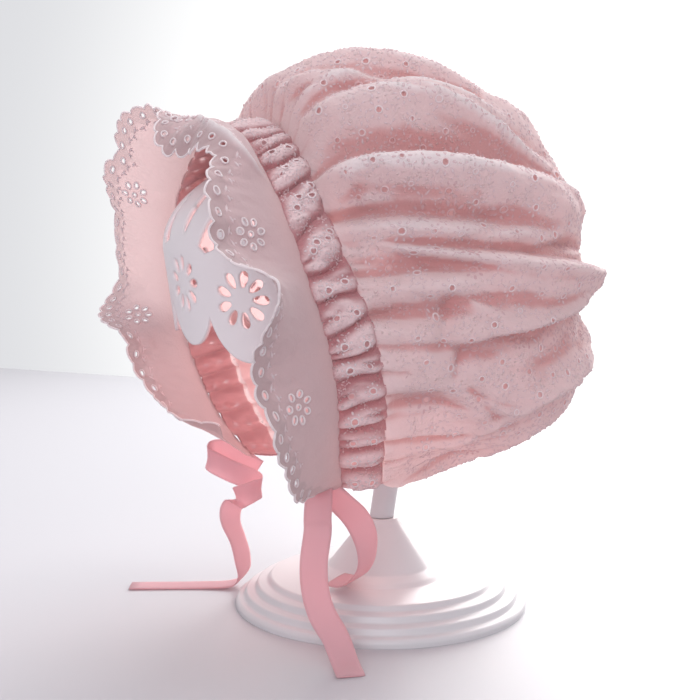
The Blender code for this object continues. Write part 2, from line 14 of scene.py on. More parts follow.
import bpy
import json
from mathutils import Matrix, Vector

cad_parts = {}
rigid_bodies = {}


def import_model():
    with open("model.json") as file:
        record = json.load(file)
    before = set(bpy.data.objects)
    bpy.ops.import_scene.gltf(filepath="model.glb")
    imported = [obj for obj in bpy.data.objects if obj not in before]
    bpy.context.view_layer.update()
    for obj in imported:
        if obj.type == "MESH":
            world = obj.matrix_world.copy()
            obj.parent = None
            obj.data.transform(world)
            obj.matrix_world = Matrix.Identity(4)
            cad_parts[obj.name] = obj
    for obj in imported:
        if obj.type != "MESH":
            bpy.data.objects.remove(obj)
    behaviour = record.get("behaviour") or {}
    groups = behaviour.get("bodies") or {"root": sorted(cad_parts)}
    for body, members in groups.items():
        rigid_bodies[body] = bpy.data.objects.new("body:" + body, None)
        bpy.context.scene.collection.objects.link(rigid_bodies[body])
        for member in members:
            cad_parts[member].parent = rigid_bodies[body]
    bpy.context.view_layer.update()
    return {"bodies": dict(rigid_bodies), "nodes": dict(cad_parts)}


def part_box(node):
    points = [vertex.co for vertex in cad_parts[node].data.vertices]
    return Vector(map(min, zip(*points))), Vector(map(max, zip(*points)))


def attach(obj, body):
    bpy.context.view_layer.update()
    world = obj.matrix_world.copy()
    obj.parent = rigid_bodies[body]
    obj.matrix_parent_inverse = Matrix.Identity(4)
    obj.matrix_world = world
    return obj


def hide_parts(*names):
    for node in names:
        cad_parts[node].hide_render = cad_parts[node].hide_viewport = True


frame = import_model()

import json

import bpy
import numpy as np
from mathutils import Euler, Vector

MM = 0.001
print("the frame holds", sorted(frame["nodes"]))

# %% [markdown]
# ## The camera
#
# The cap is seen from its left and a little from the front, at the height of its middle, so that
# the brim, the band and the whole length of the crown show. A short telephoto lens keeps the
# round crown from bulging.

# %% Camera
CAMERA_PLACE = (480.0, -295.4, 175.0)
CAMERA_TURN = 60.0  # round from the front, towards the wearer's left
CAMERA_DIP = 4.5
SENSOR = 36.0
LENS = 56.6
NEAREST = 0.01  # metres: what is closer to the lens isn't drawn


def place_object(name, data, place=(0, 0, 0)):
    """Puts a mesh, a lamp or a camera into the scene, at a place in metres."""
    made = bpy.data.objects.new(name, data)
    made.location = place
    bpy.context.scene.collection.objects.link(made)
    return made


def make_camera():
    data = bpy.data.cameras.new("camera")
    data.sensor_width = SENSOR
    data.lens = LENS
    data.clip_start = NEAREST
    made = place_object("camera", data, np.array(CAMERA_PLACE) * MM)
    made.rotation_euler = Euler(np.radians([90 - CAMERA_DIP, 0, CAMERA_TURN]))
    bpy.context.scene.camera = made
    print("camera at", tuple(made.location))


make_camera()

# %% [markdown]
# ## Tables and smooth curves
#
# Every cloth piece follows the line of the face opening. That line, and each fold and wave along
# it, is kept as a short table whose rows are places round the face, and a smooth curve is drawn
# through a table's column. An angle of 0 is the top of the head, 90 the wearer's left ear and 180
# the nape.


# %% Tables and curves
def table(columns, *rows):
    """A table with named columns: each column's name against its values."""
    return dict(zip(columns.split(), np.array(rows, float).T))


def curve(rows, column, at, level_ends=True):
    """A smooth curve through a table's column: cubic pieces whose slopes at the rows are the
    slopes between their neighbours."""
    knots, values = rows["angle"], rows[column]
    slopes = np.gradient(values, knots)
    if level_ends:
        slopes[[0, -1]] = 0.0
    i = np.clip(np.searchsorted(knots, at, side="right") - 1, 0, len(knots) - 2)
    step = knots[i + 1] - knots[i]
    t = np.clip((at - knots[i]) / step, 0, 1)
    return (
        (1 + 2 * t) * (1 - t) ** 2 * values[i]
        + t * (1 - t) ** 2 * step * slopes[i]
        + t * t * (3 - 2 * t) * values[i + 1]
        + t * t * (t - 1) * step * slopes[i + 1]
    )


def unit(vectors):
    """Vectors of length one, in the same directions."""
    return vectors / np.linalg.norm(vectors, axis=-1, keepdims=True)


def turned(x, y, degrees):
    """Flat points turned about the origin."""
    t = np.radians(degrees)
    return np.stack([x * np.cos(t) - y * np.sin(t), x * np.sin(t) + y * np.cos(t)], -1)


def length_gone(points):
    """The length of a line of points, from its start to each of them."""
    return np.concatenate([[0], np.cumsum(np.linalg.norm(np.diff(points, axis=0), axis=1))])


def hills(x, y, seed):
    """Smooth random hills from -1 to 1: random heights at whole numbers, blended between."""
    heights = np.random.default_rng(seed).uniform(-1, 1, (64, 64))
    x, y = np.broadcast_arrays(x, y)
    i, j = np.floor(x).astype(int), np.floor(y).astype(int)
    s, t = x - i, y - j
    s, t = s * s * (3 - 2 * s), t * t * (3 - 2 * t)
    low = heights[i % 64, j % 64] * (1 - s) + heights[(i + 1) % 64, j % 64] * s
    high = heights[i % 64, (j + 1) % 64] * (1 - s) + heights[(i + 1) % 64, (j + 1) % 64] * s
    return low * (1 - t) + high * t


print("a hill at", float(hills(0.5, 0.5, 1)))

# %% [markdown]
# ## From arrays to a mesh
#
# All the shapes below are worked out as whole arrays of points on a grid. One helper puts such
# an array into a mesh, gives it a material, and rides it on the model's only body. Its UV map
# holds the flat cloth's own millimetres, so that a weave keeps its scale on every piece.


# %% Meshes
BODY = next(iter(frame["bodies"]))
UV_UNIT = 10.0  # millimetres of cloth for each unit of the UV map


def grid_faces(rows, columns, closed=False):
    """The corners of a grid's faces, for points kept row by row."""
    across = columns if closed else columns - 1
    r, c = (a.ravel() for a in np.mgrid[: rows - 1, :across])
    right = (c + 1) % columns
    return np.stack(
        [r * columns + c, r * columns + right, (r + 1) * columns + right, (r + 1) * columns + c], 1
    )


def make_mesh(name, points, faces, material, replaces=None, uv=None, marks=None):
    """An object from points in millimetres and faces as rows of corners, with one material. replaces
    names the plain solid it stands for, which is hidden; uv holds the cloth's own coordinates and
    marks named values, for each point."""
    faces = [np.asarray(f) for f in (faces if isinstance(faces, list) else [faces])]
    mesh = bpy.data.meshes.new(name)
    corners = sum([f.tolist() for f in faces], [])
    mesh.from_pydata((np.asarray(points).reshape(-1, 3) * MM).tolist(), [], corners)
    if uv is not None:
        layer = mesh.uv_layers.new(name="cloth")
        ends = np.concatenate([f.ravel() for f in faces])
        layer.data.foreach_set("uv", (uv.reshape(-1, 2)[ends] / UV_UNIT).ravel())
    for mark, values in (marks or {}).items():
        kept = mesh.attributes.new(mark, "FLOAT", "POINT")
        kept.data.foreach_set("value", np.asarray(values, float).ravel())
    mesh.update()
    mesh.shade_smooth()
    mesh.materials.append(material)
    made = place_object(name, mesh)
    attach(made, BODY)
    if replaces:
        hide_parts(replaces)
    return made


print("pieces ride on", BODY)

# %% [markdown]
# ## Shader nodes
#
# Materials are built from nodes, and most lines of such code only join one node to the next. So
# one helper makes a node and fills its inputs at once: with a number, a colour or another node's
# output. Three more do a sum, a mix of two colours and a smooth step.


# %% Node helpers
def feed(tree, socket, value):
    """Links an input to another node's output, or gives it a number or a colour."""
    if isinstance(value, bpy.types.NodeSocket):
        tree.links.new(value, socket)
    else:
        socket.default_value = (*value, 1) if socket.type == "RGBA" else value


def node(tree, kind, **values):
    """A node of that kind. Each value goes to the input of that name, with _ for a space, or
    else to the node's setting of that name."""
    made = tree.nodes.new("ShaderNode" + kind)
    for name, value in values.items():
        socket = made.inputs.get(name.replace("_", " "))
        if socket is None:
            setattr(made, name, value)
        else:
            feed(tree, socket, value)
    return made


def maths(tree, operation, first, second=None):
    """A Math node's result."""
    made = node(tree, "Math", operation=operation)
    feed(tree, made.inputs[0], first)
    if second is not None:
        feed(tree, made.inputs[1], second)
    return made.outputs[0]


def mix(tree, factor, first, second):
    """A mix of two colours: the first where the factor is 0 and the second where it is 1."""
    made = node(tree, "Mix", data_type="RGBA")
    for place, value in ((0, factor), (6, first), (7, second)):
        feed(tree, made.inputs[place], value)
    return made.outputs[2]


def ramp(tree, value, low, high):
    """0 below low, 1 above high and smooth between."""
    made = node(tree, "MapRange", interpolation_type="SMOOTHSTEP", Value=value, From_Min=low, From_Max=high)
    return made.outputs["Result"]


def new_material(name):
    """A material, with its node tree and its Principled shader."""
    made = bpy.data.materials.new(name)
    made.use_nodes = True
    return made, made.node_tree, made.node_tree.nodes["Principled BSDF"]


def new_group(name, inputs, outputs):
    """A shader node group: its tree, what comes in and what goes out. f is a float, v a vector."""
    group = bpy.data.node_groups.new(name, "ShaderNodeTree")
    kinds = {"f": "NodeSocketFloat", "v": "NodeSocketVector"}
    for way, sockets in (("INPUT", inputs), ("OUTPUT", outputs)):
        for label, kind in sockets.items():
            group.interface.new_socket(label, in_out=way, socket_type=kinds[kind])
    return group, group.nodes.new("NodeGroupInput").outputs, group.nodes.new("NodeGroupOutput").inputs


# %% [markdown]
# ## Weave, satin stitch and seed stitches
#
# A node group is a small material tool with named inputs and outputs, built once and used by
# several materials. The first here is a plain weave: threads over and under each other, worked
# out as two crossed sine waves on the cloth's own coordinates. The second is satin stitching:
# fine parallel ridges across a stitched shape. The third scatters the tiny knots that fill the
# ground between flowers. All put out only heights, and the shader stays in each material.


# %% Node groups
def build_weave():
    """Height of a plain weave: |sin(x) - sin(y)| / 2, with a thread whose thickness changes
    slowly along it."""
    tree, start, end = new_group(
        "plain_weave", {"Cloth": "v", "Threads": "f", "Slub": "f"}, {"Height": "f"}
    )
    scaled = node(tree, "VectorMath", operation="SCALE", Vector=start["Cloth"], Scale=start["Threads"])
    split = node(tree, "SeparateXYZ", Vector=scaled.outputs[0])
    x, y = (maths(tree, "SINE", split.outputs[k]) for k in (0, 1))
    woven = maths(tree, "ABSOLUTE", maths(tree, "SUBTRACT", x, y))
    slub = node(tree, "TexNoise", Vector=start["Cloth"], Scale=6.0, Detail=3.0)
    uneven = maths(tree, "MULTIPLY", slub.outputs["Fac"], start["Slub"])
    feed(tree, end["Height"], maths(tree, "ADD", maths(tree, "MULTIPLY", woven, 0.5), uneven))
    return tree


def build_satin():
    """Height of satin stitches: |sin| ridges along the stitched shape's first coordinate."""
    tree, start, end = new_group("satin_stitch", {"Shape": "v", "Stitches": "f"}, {"Height": "f"})
    split = node(tree, "SeparateXYZ", Vector=start["Shape"])
    along = maths(tree, "MULTIPLY", split.outputs[0], start["Stitches"])
    feed(tree, end["Height"], maths(tree, "ABSOLUTE", maths(tree, "SINE", along)))
    return tree


def build_seeds():
    """Seed stitches: small raised dots at random places, thick in some patches and thin in
    others. Height is 1 at the middle of a dot and 0 beside it."""
    tree, start, end = new_group(
        "seed_stitches", {"Place": "v", "Dots": "f", "Share": "f"}, {"Height": "f"}
    )
    dots = node(tree, "TexVoronoi", feature="F1", Vector=start["Place"], Scale=start["Dots"])
    patches = node(tree, "TexNoise", Vector=start["Place"], Scale=70.0, Detail=1.0)
    here = ramp(tree, maths(tree, "SUBTRACT", patches.outputs["Fac"], start["Share"]), -0.06, 0.06)
    top = maths(tree, "SUBTRACT", 1.0, ramp(tree, dots.outputs["Distance"], 0.05, 0.42))
    feed(tree, end["Height"], maths(tree, "MULTIPLY", top, here))
    return tree


WEAVE = build_weave()
SATIN = build_satin()
SEEDS = build_seeds()
print("node groups:", [g.name for g in bpy.data.node_groups])

# %% [markdown]
# ## Cotton, thread and ribbon
#
# Thin cotton is partly lit from behind: some light bounces off it and some comes through. So its
# material mixes a Principled shader with a Translucent one. The meshes carry three marks that
# the material reads. Hollow says how deep in a fold a point is, and there the material paints
# shade: a darker, stronger salmon, for light that has passed through the dyed cloth several times.
# The second mark is 1 where thread lies thick, whose own colour is darker, and at the low rim of
# each stitched shape, where the darker colour is painted shade. The third is 1 on the sharp top
# of a fold, which is painted white as a highlight of the light from behind. The stitching thread
# is paler than the cloth, with a rim of painted shade, and the eyelet cotton also has seed
# stitches and a crumpled surface.


# %% Cotton
# The colour of the painted highlight on the sharp crests of folds.
PAINTED_CREST_HIGHLIGHT = (0.97, 0.92, 0.93)
THREADS = 90.0  # how close the weave's threads lie, for each unit of the UV map
STITCHES = 9.0  # the same for the satin stitches
BLOTCH_SCALE = 38.0  # noise scales and dots are counted in a metre
CRUMPLE_SCALE = 430.0
SEED_SCALE = 560.0
SEED_SHARE = 0.50
SEED_PALENESS = 0.45
SEED_WHITER = 1.18
WORN_SHARE = 0.35  # how strongly the blotches show
WORN, RIM = 0.86, 0.88  # how dark the blotches and the dense places are, beside the cloth
# The light that comes through is darkened in the hollows as painted shade, and at the dense places.
GLOW_DEEP, GLOW_DENSE = 0.9, 0.82  # the same for the light that comes through


def darker(colour, share):
    """The colour with this share of its light left."""
    return [c * share for c in colour]


def bump(tree, height, strength, distance, under=None):
    """The surface's direction with a height added, on top of the bump under it."""
    made = node(tree, "Bump", Strength=strength, Distance=distance, Height=height)
    if under:
        feed(tree, made.inputs["Normal"], under)
    return made.outputs[0]


def cotton(name, face, fold_shade, glow, through, weave_depth=0.25, stitched=False, seeds=0.0,
           sheen=0.4, crumple=0.0, rim_shade=None):
    """A thin dyed cotton: face is its colour in the light, the next colour the painted shade in its
    hollows, glow that of the light that comes through it, and through how much does. The rim colour
    is painted shade at the low rims of stitching."""
    made, tree, front = new_material(name)
    cloth = node(tree, "UVMap", uv_map="cloth").outputs[0]
    place = node(tree, "TexCoord").outputs["Object"]
    hollow, thick_thread_and_rim_shade, crest = (node(tree, "Attribute", attribute_name=mark).outputs["Fac"]
                            for mark in ("hollow", "thick_thread_and_rim_shade", "crest"))
    deep = ramp(tree, hollow, 0.0, 1.0)
    blotch = node(tree, "TexNoise", Vector=place, Scale=BLOTCH_SCALE, Detail=4.0)
    worn = maths(tree, "MULTIPLY", blotch.outputs["Fac"], WORN_SHARE)
    # Painted shade: the colour turns to the darker fold colour in the hollows.
    colour = mix(tree, worn, mix(tree, deep, face, fold_shade), darker(face, WORN))
    # Darker where thread lies thick, its own colour, and at the low rims of stitching, painted shade.
    colour = mix(tree, thick_thread_and_rim_shade, colour, rim_shade or darker(face, RIM))
    # Painted highlight: the sharp crests turn white.
    colour = mix(tree, crest, colour, PAINTED_CREST_HIGHLIGHT)

    if stitched:
        weave = node(tree, "Group", node_tree=SATIN, Shape=cloth, Stitches=STITCHES)
    else:
        weave = node(tree, "Group", node_tree=WEAVE, Cloth=cloth, Threads=THREADS, Slub=0.6)
    relief = bump(tree, weave.outputs["Height"], weave_depth, 0.00006 if stitched else 0.0003)
    if crumple:
        creased = node(tree, "TexNoise", Vector=place, Scale=CRUMPLE_SCALE, Detail=3.0, Distortion=1.2)
        relief = bump(tree, creased.outputs["Fac"], crumple, 0.0012, relief)
    if seeds:
        sewn = node(tree, "Group", node_tree=SEEDS, Place=place, Dots=SEED_SCALE, Share=SEED_SHARE)
        relief = bump(tree, sewn.outputs["Height"], seeds, 0.0005, relief)
        paler = [min(1, c * SEED_WHITER) for c in face]
        colour = mix(tree, maths(tree, "MULTIPLY", sewn.outputs["Height"], SEED_PALENESS), colour, paler)

    for label, value in (("Base Color", colour), ("Normal", relief), ("Roughness", 0.85),
                         ("Sheen Weight", sheen), ("Sheen Roughness", 0.5)):
        feed(tree, front.inputs[label], value)
    # The light that comes through gets the same painted shade and painted highlight.
    passed = mix(tree, deep, glow, darker(glow, GLOW_DEEP))
    passed = mix(tree, thick_thread_and_rim_shade, passed, darker(glow, GLOW_DENSE))
    passed = mix(tree, crest, passed, PAINTED_CREST_HIGHLIGHT)
    behind = node(tree, "BsdfTranslucent", Color=passed, Normal=relief)
    both = node(tree, "MixShader", Fac=through)
    feed(tree, both.inputs[1], front.outputs[0])
    feed(tree, both.inputs[2], behind.outputs[0])
    feed(tree, tree.nodes["Material Output"].inputs["Surface"], both.outputs[0])
    return made


# Each cloth's second colour is the painted shade of its hollows.
CROWN_CLOTH = cotton("eyelet_cotton", (0.89, 0.775, 0.79), (0.70, 0.33, 0.33), (0.98, 0.74, 0.71), 0.42,
                     seeds=0.9, sheen=1.0, crumple=0.45)
BAND_CLOTH = cotton("shirred_cotton", (0.92, 0.755, 0.775), (0.42, 0.12, 0.14), (0.96, 0.57, 0.55), 0.30,
                    seeds=1.0, crumple=0.9)
BRIM_CLOTH = cotton("brim_voile", (0.60, 0.435, 0.45), (0.70, 0.42, 0.41), (0.77, 0.56, 0.55), 0.30,
                    crumple=0.25)
LINING_CLOTH = cotton("lining_voile", (0.80, 0.55, 0.57), (0.80, 0.55, 0.57), (1.0, 0.84, 0.83), 0.68)
# The casing's dark colour is painted shade, seen through the band's eyelets.
SHADED_CASING_CLOTH = cotton("casing_painted_shade", (0.62, 0.35, 0.38), (0.62, 0.35, 0.38), (1.0, 0.76, 0.75), 0.57)
# The thread's rim colour is painted shade where it goes down into the cloth.
THREAD = cotton("stitching_thread", (0.97, 0.89, 0.91), (0.82, 0.52, 0.53), (0.97, 0.80, 0.80), 0.30,
                0.5, stitched=True, rim_shade=(0.74, 0.52, 0.55))
RIBBON = cotton("woven_ribbon", (0.84, 0.60, 0.65), (0.74, 0.38, 0.42), (1.0, 0.64, 0.66), 0.52)
print("cloths:", [m.name for m in bpy.data.materials])

# %% [markdown]
# ## Plastic
#
# The stand is smooth moulded plastic with a soft shine. Its mould leaves a faint unevenness, made
# with one noise that tints the colour and lifts the surface a little. The base and the stem are
# the dome's plastic, coloured darker as painted shade from the cap above them.


# %% Plastic
def plastic(name, colour):
    """Moulded plastic: one noise tints it and ripples its surface."""
    made, tree, shader = new_material(name)
    place = node(tree, "TexCoord").outputs["Object"]
    ripple = node(tree, "TexNoise", Vector=place, Scale=60.0, Detail=2.0).outputs["Fac"]
    tint = mix(tree, maths(tree, "MULTIPLY", ripple, 0.12), colour, darker(colour, 0.93))
    feed(tree, shader.inputs["Base Color"], tint)
    feed(tree, shader.inputs["Normal"], bump(tree, ripple, 0.08, 0.0004))
    shader.inputs["Roughness"].default_value = 0.32
    return made


WHITE_PLASTIC = plastic("white_plastic", (0.82, 0.745, 0.765))
# The base and the stem are the dome's plastic, coloured darker as painted shade.
SHADED_STAND_PLASTIC = plastic("stand_plastic", (0.68, 0.65, 0.67))
print("plastics:", WHITE_PLASTIC.name, "and", SHADED_STAND_PLASTIC.name)

# %% [markdown]
# ## The ribbon ties
#
# Two soft ribbons leave the corners of the brim. The left one hangs to the base in two strands.
# The right one is folded into a loose bundle below its corner, and then runs down to the table
# and out across it. A ribbon is a flat strip carried along its route: each row of a table is a
# point of the route, the way the ribbon's width lies there, and how far that width leans upwards.

# %% Routes of the ties
TIE_WIDTH = 12.5
TIE_THICKNESS = 0.9
TIE_STEPS = 6  # stations to each row of a tie's table
TIE_COLUMNS = 9
TIE_LEFT = table(
    "x y z turn lean",
    (45.4, -60.8, 75.1, 60, 0),
    (49.7, -63.3, 68.8, 60, 0),
    (53.5, -65.9, 61.2, 60, 0),
    (56.5, -67.5, 56.0, 60, 0),
    (56.5, -69.5, 42.0, 60, 0),
    (57.0, -69.0, 30.0, 60, 0),
    (60.5, -67.5, 20.0, 64, 0),
    (68.2, -64.9, 11.0, 70, 0),
    (77.2, -65.5, 3.4, 78, 0),
    (87.5, -68.2, 0.8, 84, 0),
)
TIE_LEFT_TAIL = table(
    "x y z turn lean",
    (44.6, -56.7, 72.2, 60, 0),
    (45.0, -49.0, 65.0, 60, 0),
    (45.5, -41.3, 57.1, 70, 0),
    (45.6, -36.5, 48.1, 88, 0),
    (44.2, -34.3, 39.4, 106, 0),
    (40.7, -33.6, 31.8, 110, 6),
    (34.0, -34.1, 25.0, 100, 14),
    (24.1, -33.8, 20.6, 96, 18),
    (12.5, -34.1, 18.8, 96, 18),
)
TIE_RIGHT = table(
    "x y z turn lean",
    (-52.0, -45.5, 64.0, 30, 60),
    (-57.0, -52.5, 69.5, 20, 70),
    (-63.0, -60.0, 74.0, 10, 80),
    (-66.5, -65.5, 73.5, 0, 82),
    (-63.5, -69.0, 70.5, 0, 82),
    (-56.0, -63.0, 66.0, 0, 80),
    (-48.0, -55.0, 62.0, 0, 80),
    (-42.5, -50.5, 59.5, 0, 78),
    (-38.5, -50.5, 57.5, 5, 76),
    (-39.5, -56.0, 55.0, 10, 68),
    (-44.5, -61.0, 51.5, 40, 45),
    (-48.5, -63.0, 45.5, 80, 20),
    (-49.5, -62.5, 38.0, 105, 5),
    (-48.0, -59.5, 29.0, 115, 0),
    (-47.5, -57.0, 19.0, 115, 0),
    (-50.5, -55.0, 9.0, 130, 0),
    (-58.0, -58.5, 2.4, 150, 0),
    (-69.0, -74.0, 0.8, 150, 0),
    (-86.0, -106.0, 0.8, 150, 0),
)
print("rows in the ties' tables:", [len(rows["x"]) for rows in (TIE_LEFT, TIE_LEFT_TAIL, TIE_RIGHT)])


# %% Ties
def ribbon_stations(rows):
    """Points along a tie's route, each with its directions across and off the ribbon."""
    knots = np.arange(len(rows["x"]), dtype=float)
    at = np.linspace(0, knots[-1], (len(knots) - 1) * TIE_STEPS + 1)
    rows = {**rows, "angle": knots}
    middle = np.stack([curve(rows, c, at, False) for c in "xyz"], -1)
    turn = np.radians(curve(rows, "turn", at, False))
    lean = np.radians(curve(rows, "lean", at, False))
    across = np.stack([np.cos(turn) * np.cos(lean), np.sin(turn) * np.cos(lean), np.sin(lean)], -1)
    way = unit(np.gradient(middle, axis=0))
    across = unit(across - way * (across * way).sum(1, keepdims=True))
    return middle, across, np.cross(way, across)


def make_tie(name, node_name, rows):
    """A closed strip: its section is a thin lens carried along the route, with a flat cap of
    faces at each end."""
    middle, across, face = ribbon_stations(rows)
    side = np.linspace(-1, 1, TIE_COLUMNS)
    deep = TIE_THICKNESS / 2 * (1 - 0.5 * side**4)
    around = np.concatenate([side, side[::-1]])
    lift = np.concatenate([-deep, deep[::-1]])
    points = (
        middle[:, None]
        + across[:, None] * (around * TIE_WIDTH / 2)[:, None]
        + face[:, None] * lift[:, None]
    )
    gone = length_gone(middle)
    uv = np.stack(np.broadcast_arrays(gone[:, None], around * TIE_WIDTH / 2), -1)
    faces = grid_faces(len(middle), len(around), closed=True)
    c = np.arange(TIE_COLUMNS - 1)
    first = np.stack([c, len(around) - 1 - c, len(around) - 2 - c, c + 1], 1)
    last = (first + (len(middle) - 1) * len(around))[:, ::-1]
    made = make_mesh(name, points, np.vstack([faces, first, last]), RIBBON, node_name, uv)
    print(name, "is", round(gone[-1]), "mm long")
    return made


for strand, route in (("left", TIE_LEFT), ("left_tail", TIE_LEFT_TAIL), ("right", TIE_RIGHT)):
    make_tie("ribbon_" + strand, "tie_" + strand, route)

# %% [markdown]
# ## The line round the face
#
# Brim and band are sewn together along one line round the face, and the band and the crown along
# another, a little further back. Each is a ring round the middle of the face opening: how far out
# it runs and how far forward, at a few angles. The elastic in the band draws the cloth into puffs
# between creases, closer together at the temples than at the top.

# %% Face line
SEAM_GAP = 0.4
FACE_CENTRE_Z = 151.0
CORNER = 149.0  # the angle at which band and brim end, at the jaw
FACE_LINE = table(
    "angle reach y",
    (0, 88, -88),
    (25, 83, -89),
    (50, 79, -88),
    (75, 79, -84),
    (95, 82, -77),
    (115, 85, -69),
    (135, 88, -60),
    (149, 92, -50),
)
CROWN_EDGE = table(
    "angle reach y",
    (0, 90, -64),
    (25, 86, -67),
    (50, 82, -69),
    (75, 82, -63),
    (95, 85, -54),
    (115, 88, -46),
    (135, 91, -38),
    (149, 94, -28),
    (158, 91, -10),
    (169, 84, 10),
    (180, 80, 18),
)
CREASES = table(
    "front rear",
    (3, 1),
    (13, 8),
    (22, 15),
    (30, 22),
    (38, 29),
    (49, 38),
    (65, 55),
    (78, 73),
    (86, 80),
    (95, 90),
    (102, 98),
    (109, 105),
    (117, 113),
    (124, 120),
    (132, 129),
    (140, 138),
    (149, 149),
)
print("the face opening is", 2 * FACE_LINE["reach"].min(), "mm wide")

# %% Puffs
PUFF_HEIGHT = 3.4
USUAL_PUFF = 9.0
PUFF_UNEVEN = 0.4  # how much higher or lower than usual a puff may stand
CREASE_DEPTH = 1.35
FORK_DEPTH = 2.4  # of the short creases that part a puff from one seam to its middle
FORK_WIDTH = 0.9
PUFF_SHARE = 0.66  # where a puff's crest lies between its creases: its cloth hangs downwards
SEAM_TUCK = 0.8  # how far the cloth is drawn in at the seam between band and crown
WRINKLE = 1.2  # the height of the wrinkles on the puffs
FINE_WRINKLE = 0.55


def ring_point(rows, angle, level_ends=True):
    """The points of a ring round the face, mirrored from the wearer's left."""
    reach = curve(rows, "reach", np.abs(angle), level_ends)
    turn = np.radians(angle)
    y = curve(rows, "y", np.abs(angle), level_ends)
    return np.stack([reach * np.sin(turn), y, FACE_CENTRE_Z + reach * np.cos(turn)], -1)


def outward(angle):
    """The direction straight out from the face opening's centre."""
    turn = np.radians(angle)
    return np.stack([np.sin(turn), 0 * turn, np.cos(turn)], -1)


def puff_order(angle, across):
    """Which puff an angle is in, counted from the top, with the share of it gone."""
    side = np.abs(angle)
    at = side + np.interp(side, CREASES["front"], CREASES["front"] - CREASES["rear"]) * across
    fronts = np.concatenate([[-CREASES["front"][0]], CREASES["front"], [165, 180]])
    order = np.interp(at, fronts, np.arange(len(fronts)))
    wide = np.diff(fronts)[np.clip(order.astype(int), 0, len(fronts) - 2)]
    return order, wide


def band_relief(angle, across):
    """How far the shirring stands out, from the brim's seam (0) to the crown's (1): each puff
    leans over its lower crease, is of its own height, is parted from one seam by a short
    crease, and carries small wrinkles."""
    angle, across = np.asarray(angle), np.asarray(across)
    order, wide = puff_order(angle + 1.2 * hills(across * 2.1 + 40, angle / 7 + 60, 19), across)
    t = order % 1
    before, after = t / PUFF_SHARE, (t - PUFF_SHARE) / (1 - PUFF_SHARE)
    lean = np.where(t < PUFF_SHARE, before / 2, 0.5 + after / 2)
    round_it = np.sin(np.pi * lean)
    number = np.floor(order) * 1.7 + 30 * (angle < 0)
    own = 1 + PUFF_UNEVEN * hills(number, across * 0, 17)
    swell = 0.36 + 0.64 * np.sin(np.pi * np.clip(across, 0, 1)) ** 0.6
    full = PUFF_HEIGHT * np.sqrt(wide / USUAL_PUFF) * own * round_it**0.55
    run = np.where(hills(number + 0.5, 9.5, 18) > 0, across, 1 - across)
    apart = (t - 0.5 - 0.2 * hills(number + 0.5, 5.5, 18)) * wide - 1.5 * (run - 0.5)
    fork = FORK_DEPTH * np.exp(-((apart / FORK_WIDTH) ** 2)) * np.clip(run * 1.7 - 0.55, 0, 1) * round_it
    wrinkle = WRINKLE * hills(angle / 2.4 + 90, across * 2.2 + angle / 9, 21)
    wrinkle = wrinkle + FINE_WRINKLE * hills(angle / 0.9 + 200, across * 5 + 3, 22)
    return (full - fork + wrinkle * round_it) * swell - CREASE_DEPTH * (1.6 - round_it)


print("puffs on each side:", len(CREASES["front"]))

# %% [markdown]
# ## The crown's shape
#
# The crown is one full piece of cloth gathered into the band. Its smooth form is an egg that
# closes in to the band and hangs back a little at the bottom. Long folds run from the gathers to
# the back: each row of the table says at which angles a fold starts and ends, how far back it
# runs, how deep it is, how wide, and how much steeper its side at the larger angle is. Cloth
# under its own weight folds over, so a fold is seldom the same on both sides. A second table
# holds the small creases that make the cloth look handled, and a third the few that run across.
# On the sides that no table describes, small wrinkles with random places and sizes do the same.

# %% Crown tables
CROWN_CENTRE = np.array([0.0, 8.0, 175.5])
CROWN_HALF_WIDTH = 102.5
CROWN_HALF_HEIGHT = 102.5
CROWN_FRONT = 99.0
CROWN_BACK = 92.5
CROWN_FULLNESS = 2.2
CROWN_SETTLE = 3.4  # how far the cloth has settled at the top
CROWN_SAG = 18.0  # how far the lowest part hangs back
PUFF_RISE = 27.0  # how far back from its edge the egg is bent towards the seam
CROWN_FOLDS = table(
    "front back start end depth width steep",
    (-8, 43, 0.02, 0.85, -4, 9, 1.0),
    (8, 36, 0.15, 0.80, -3, 8, 1.2),
    (20, 28, 0.00, 0.50, 6, 8, 1.3),
    (30, 48, 0.22, 0.82, 2.4, 36, 1.0),
    (37, 47, -0.10, 0.60, 13, 8, 1.5),
    (53, 61, -0.10, 0.50, 10, 7, 1.5),
    (64, 73, -0.05, 0.90, 11, 6, 2.2),
    (66, 74, 0.15, 1.10, -3.4, 10, 0.9),
    (72, 84, 0.40, 1.12, -3.0, 7, 1.0),
    (78, 73, -0.10, 0.30, 8, 7, 1.3),
    (91, 86, -0.10, 0.22, 7, 6, 1.3),
    (98, 86, 0.10, 0.85, 10, 8, 0.45),
    (118, 116, -0.10, 0.16, 6, 8, 1.0),
    (100, 100, 0.30, 0.90, 5, 26, 1.0),
    (126, 104, 0.08, 0.72, -3, 8, 1.2),
    (134, 113, 0.12, 0.75, 8, 8, 0.6),
    (138, 124, 0.00, 0.45, -3, 8, 1.0),
    (160, 140, -0.05, 0.60, 6, 8, 1.3),
    (-22, -40, 0.03, 0.65, 6, 10, 0.7),
    (-33, -50, 0.10, 0.80, -4, 9, 1.3),
    (-45, -60, 0.03, 0.80, 8, 10, 0.6),
    (-66, -72, -0.05, 0.50, 9, 9, 0.7),
    (-76, -80, 0.10, 0.90, -5, 9, 1.3),
    (-89, -86, -0.05, 0.85, 9, 9, 0.55),
    (-109, -98, -0.05, 0.60, 7, 9, 1.4),
    (-127, -112, -0.05, 0.80, 8, 9, 0.7),
    (-150, -132, -0.05, 0.65, 7, 9, 1.3),
)
